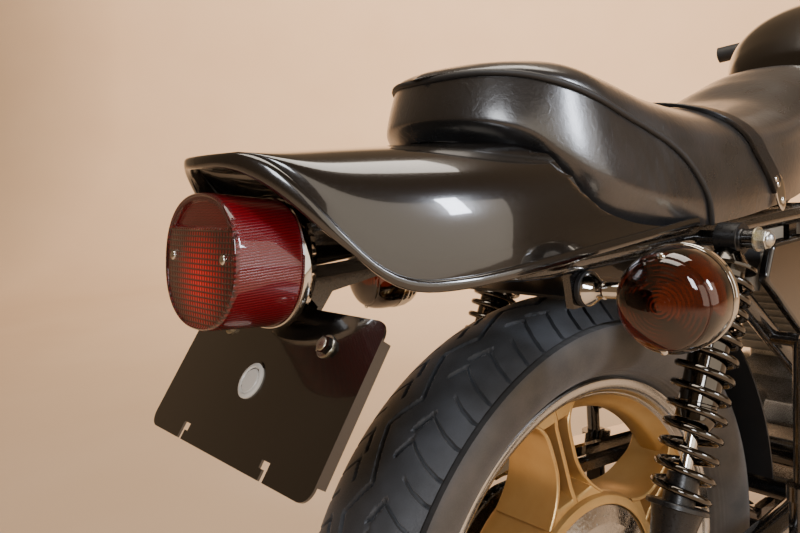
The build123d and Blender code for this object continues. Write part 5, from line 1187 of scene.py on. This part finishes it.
TURNED, WHEELBASE = 9 * DEG, 1490.0
HEADLAMP = np.array([WHEELBASE - 118.0, 0.0, 556.0])
signal_set("chassis", "rear", "rear_signals", [
    ((-65, side * 188, 358), (-math.cos(TURNED), side * math.sin(TURNED), 0), (-74, side * 102.4, 360))
    for side in (-1, 1)])
signal_set("steering", "front", "front_signals", [
    (HEADLAMP + [-72, side * 186, -8], (1, 0, 0), HEADLAMP + [-96, side * 98.1, -8]) for side in (-1, 1)])

# %% [markdown]
# The blank plate carrier has a white plastic plug, and hexagon bolts on washers. The shock absorbers
# are held by zinc plated domed nuts. A hexagon is a turned shape with six sides, sharp at its corners.

# %% Small fastenings
def hexagon(centre, outward, across_flats, tall, cap):
    """A hexagon nut in millimetres, its crown chamfered, with a round cap standing cap above it."""
    r = across_flats / math.sqrt(3)
    start = place(centre)
    nut = turned([(0, 0), (r, 0), (r, tall - 0.6), (r - 0.9, tall), (0, tall)], start, outward, 6)
    cap_r = across_flats * 0.44
    dome = np.concatenate([[(0, tall - 1), (cap_r, tall - 1)], quarter(cap_r, tall, 0, tall + cap, 8)])
    return [nut, turned(dome, start, outward, 24)]


PLATE_TILT = 36.7 * DEG
PLATE_OUT = np.array([-math.cos(PLATE_TILT), 0.0, math.sin(PLATE_TILT)])
PLATE_DOWN = np.array([-math.sin(PLATE_TILT), 0.0, -math.cos(PLATE_TILT)])
PLATE_TOP = np.array([-314.0, 0.0, 377.0])


def on_plate(right, down):
    """A point of the plate carrier, in millimetres from the middle of its top edge."""
    return PLATE_TOP + right * np.array([0.0, -1.0, 0.0]) + down * PLATE_DOWN


plug = turned(
    [(0, 0), (14.6, 0), (14.6, 1.2), (13.6, 2.0), (11.6, 2.2), (10.6, 1.2), (9.8, 1.2), (9.0, 2.0), (0, 2.2)],
    place(on_plate(-2, 66)), PLATE_OUT, 48)
WHITE = moulded("white_nylon", ("#d9d8d2", "#c9c7bf"), 0.35)
dress(make("plate_plug", plug), WHITE, "chassis", "dark_plastic")
# the shock absorbers' eyes as (x, z), how far out their middle lies, and how far out each nut sits
SHOCK_TOP, SHOCK_LOW, SHOCK_Y, NUT_Y = (107.0, 385.0), (-40.0, 66.0), 145.0, (171.1, 158.2)
fastenings = []
for side in (-1, 1):
    spot = on_plate(side * 70, 26)
    fastenings.append(closed_ring(place(spot), PLATE_OUT, [(4, 0), (9, 0), (9, 1.0), (8.5, 1.4), (4, 1.4)]))
    fastenings += hexagon(spot, PLATE_OUT, 12.0, 5.0, 1.2)
    for (x, z), y in zip((SHOCK_TOP, SHOCK_LOW), NUT_Y):
        washer = [(5, -0.4), (12, -0.4), (12, 1.2), (5, 1.2)]
        fastenings.append(closed_ring(place((x, side * y, z)), (0, side, 0), washer))
        fastenings += hexagon((x, side * (y + 1.2), z), (0, side, 0), 17.5, 9, 5.5)
dress(make("zinc_fastenings", *fastenings), ZINC, "chassis", "bare_steel")

# %% [markdown]
# A shock absorber is a dark chromed body over a bright rod, with a coil spring wound closer at its top.
# The wire is a helix in two stages, given as (turns, pitch) from the top down.

# %% Shock absorbers
SPRING_STAGES = [(5, 14.0), (8, 19.0)]
SPRING_START, SPRING_R, WIRE_R = 36.0, 25.5, 3.6
SATIN_BLACK = moulded("satin_black_paint", ("#0d0d0e", "#171718"), 0.32, 2.0, 0.04)


def spring_wire(top, line):
    """Centre line of the wire: distance down the axis, with the turns made so far as the angle."""
    reach = np.concatenate([[0], np.cumsum([turns * pitch for turns, pitch in SPRING_STAGES])])
    made = np.concatenate([[0], np.cumsum([turns for turns, pitch in SPRING_STAGES])])
    turns = np.linspace(0, made[-1], int(made[-1] * 28) + 1)
    along = np.interp(turns, made, reach) + SPRING_START
    side, up = cross_frame(line, (0.0, 1.0, 0.0))
    angle = turns * 2 * math.pi
    return top + along[:, None] * line + SPRING_R * swung(angle, side, up)


def shock_pieces(side):
    """Spring, dark body, bright rod and painted lower half of one shock absorber."""
    top, low = (np.array([x, side * SHOCK_Y, z]) for x, z in (SHOCK_TOP, SHOCK_LOW))
    length = float(np.linalg.norm(low - top))
    line = (low - top) / length
    end = SPRING_START + sum(turns * pitch for turns, pitch in SPRING_STAGES)
    spring = tube(place(spring_wire(top, line)), WIRE_R, 12, hint=tuple(line))
    body = turned([(0, 12), (11, 12), (24, 27.5), (28, 28), (29, 28.8), (29, 31.2), (28, 32), (18.6, 32.2),
                   (18.6, 92), (17.8, 93), (17.8, 95), (18.6, 96), (18.6, 166), (17.8, 167), (17.8, 169),
                   (18.6, 170), (18.6, 182), (17.6, 185), (13, 194), (0, 195)], place(top), line, 64)
    rod = turned([(0, 160), (6.5, 160), (6.5, length - 14), (0, length - 14)], place(top), line, 32)
    perch = [(0, -24), (13.8, -24), (15, -22.8), (15, 3.6), (28, 3.8), (29, 4.8), (29, 8.2), (28, 9),
             (24, 9.4), (21, 24)]
    perch = [(r, end + d) for r, d in perch] + [(13, length - 8), (0, length - 8)]
    lower = turned(perch, place(top), line, 64)
    eyes = []
    for spot in (top, low):
        half_eye = np.array([(16, 11), (15.4, 11.6), (10.6, 11.6), (10, 13), (6.2, 13)])
        eye = np.concatenate([half_eye[::-1] * [1, -1], half_eye])
        eyes.append(closed_ring(place(spot), (0, 1, 0), eye, 48))
    return spring, body, rod, [lower, *eyes]


for side, word in ((-1, "right"), (1, "left")):
    spring, body, rod, lower = shock_pieces(side)
    dress(make(f"{word}_shock_spring", spring), BLACK_CHROME, "chassis", "chrome", f"shock_{word}")
    dress(make(f"{word}_shock_body", body), BLACK_CHROME, "chassis", "chrome")
    dress(make(f"{word}_shock_rod", rod), CHROME, "chassis", "chrome")
    dress(make(f"{word}_shock_mounts", *lower), SATIN_BLACK, "chassis", "frame_black")

# %% [markdown]
# The headlamp has a fluted glass over a dished reflector. The two instruments have black faces with white
# ticks, and an orange needle on each.

# %% Headlamp and dials
def headlamp_glass():
    """Shallow dome with a wall, whose inner face carries upright flutes: depth x |sin(pi y / pitch)|."""
    r = np.concatenate([[85.2, 85.2], np.linspace(84, 0.5, 40)])
    out = np.concatenate([[-7.5, 1.0], 17.5 - 15.5 * (r[2:] / 84) ** 2])
    a = full_turn(180)
    y, z = r[:, None] * np.cos(a), r[:, None] * np.sin(a)
    outer = np.stack([out[:, None] + 0 * y, y, z], axis=-1)
    share = 0.955
    flute = 0.9 * np.abs(np.sin(math.pi * y * share / 9.0)) * (r[:, None] < 80)
    inner = np.stack([outer[..., 0] - 4.2 - flute, y * share, z * share], axis=-1)
    inner[:2, :, 0] = outer[:2, :, 0]
    return grid(place(HEADLAMP + np.concatenate([outer, inner[::-1]])), wrap_v=True)


CLEAR = lens_glass("clear_headlamp_glass", ("#f4f6f4", "#eef2f0"), 0.02)
glass = make("fluted_headlamp_glass", headlamp_glass(), sharp_deg=20)
dress(glass, CLEAR, "steering", "clear_glass", "headlamp_glass")
dish = [(0, -36), (10, -36), (30, -31), (52, -22), (70, -12), (78, -9.4), (78, -8.4), (69, -10.6),
        (51, -20.6), (29, -29.6), (10, -34.4), (0, -34.4)]
reflector = [turned(dish, place(HEADLAMP), (1, 0, 0), 72)]
reflector.append(turned([(0, -34), (9, -34), (9, -20), (7, -16), (0, -15)], place(HEADLAMP), (1, 0, 0), 32))
dress(make("headlamp_reflector", *reflector), CHROME, "steering", "chrome")

RAKE, FORK_OFFSET = 26 * DEG, 60.0
FORK_UP = np.array([-math.sin(RAKE), 0.0, math.cos(RAKE)])
FORK_AHEAD = np.array([math.cos(RAKE), 0.0, math.sin(RAKE)])


def at_fork(along, ahead, y):
    """A point up the steering axis from the front axle's foot, and ahead of that axis."""
    foot = (FRONT_AXLE - REAR_AXLE) / MM + [0, y, 0]
    return foot + along * FORK_UP + (ahead - FORK_OFFSET) * FORK_AHEAD


def bar_between(start, end, radius, sides, hint):
    """A round bar between two places given in millimetres."""
    return tube(place(np.linspace(start, end, 2)), radius, sides, hint=tuple(hint))


def dial_way(degrees, right, up):
    """The direction on a dial at an angle from its right-hand side."""
    angle = math.radians(degrees)
    return math.cos(angle) * right + math.sin(angle) * up


TICKS, FIRST_TICK_DEG, TICK_STEP_DEG = 25, 225, 11.25
faces, marks, needles = [], [], []
for side, reading in ((-1, -135), (1, -150)):
    low, high = at_fork(786, 108, side * 58), at_fork(838, 94, side * 58)
    look = unit(high - low)
    right = np.array([0.0, -1.0, 0.0])
    up = unit(np.cross(look, right))
    faces.append(turned([(0, 0), (35.5, 0), (35.5, 0.5), (0, 0.7)], place(high), look, 64))
    for count in range(TICKS):
        way = dial_way(FIRST_TICK_DEG - count * TICK_STEP_DEG, right, up)
        inner_r, tick_r = (26.5, 0.7) if count % 3 == 0 else (29.0, 0.4)
        face = high + look * 0.8
        marks.append(bar_between(face + way * inner_r, face + way * 33, tick_r, 6, look))
    way = dial_way(reading, right, up)
    lifted = high + look * 1.6
    needles.append(bar_between(lifted - way * 7, lifted + way * 28, 0.8, 8, look))
    needles.append(dome_screw(high + look * 0.6, look, 4.0, 1.8))
DIAL_BLACK = moulded("dial_face_black", ("#08090a", "#0d0e0f"), 0.5, 1.0, 0.02)
NEEDLE = moulded("needle_orange", ("#d8420f", "#c93c0e"), 0.4, 1.0, 0.02)
dress(make("dial_faces", *faces), DIAL_BLACK, "steering", "dark_plastic")
dress(make("dial_marks", *marks), WHITE, "steering", "dark_plastic")
dress(make("dial_needles", *needles), NEEDLE, "steering", "amber_lens")
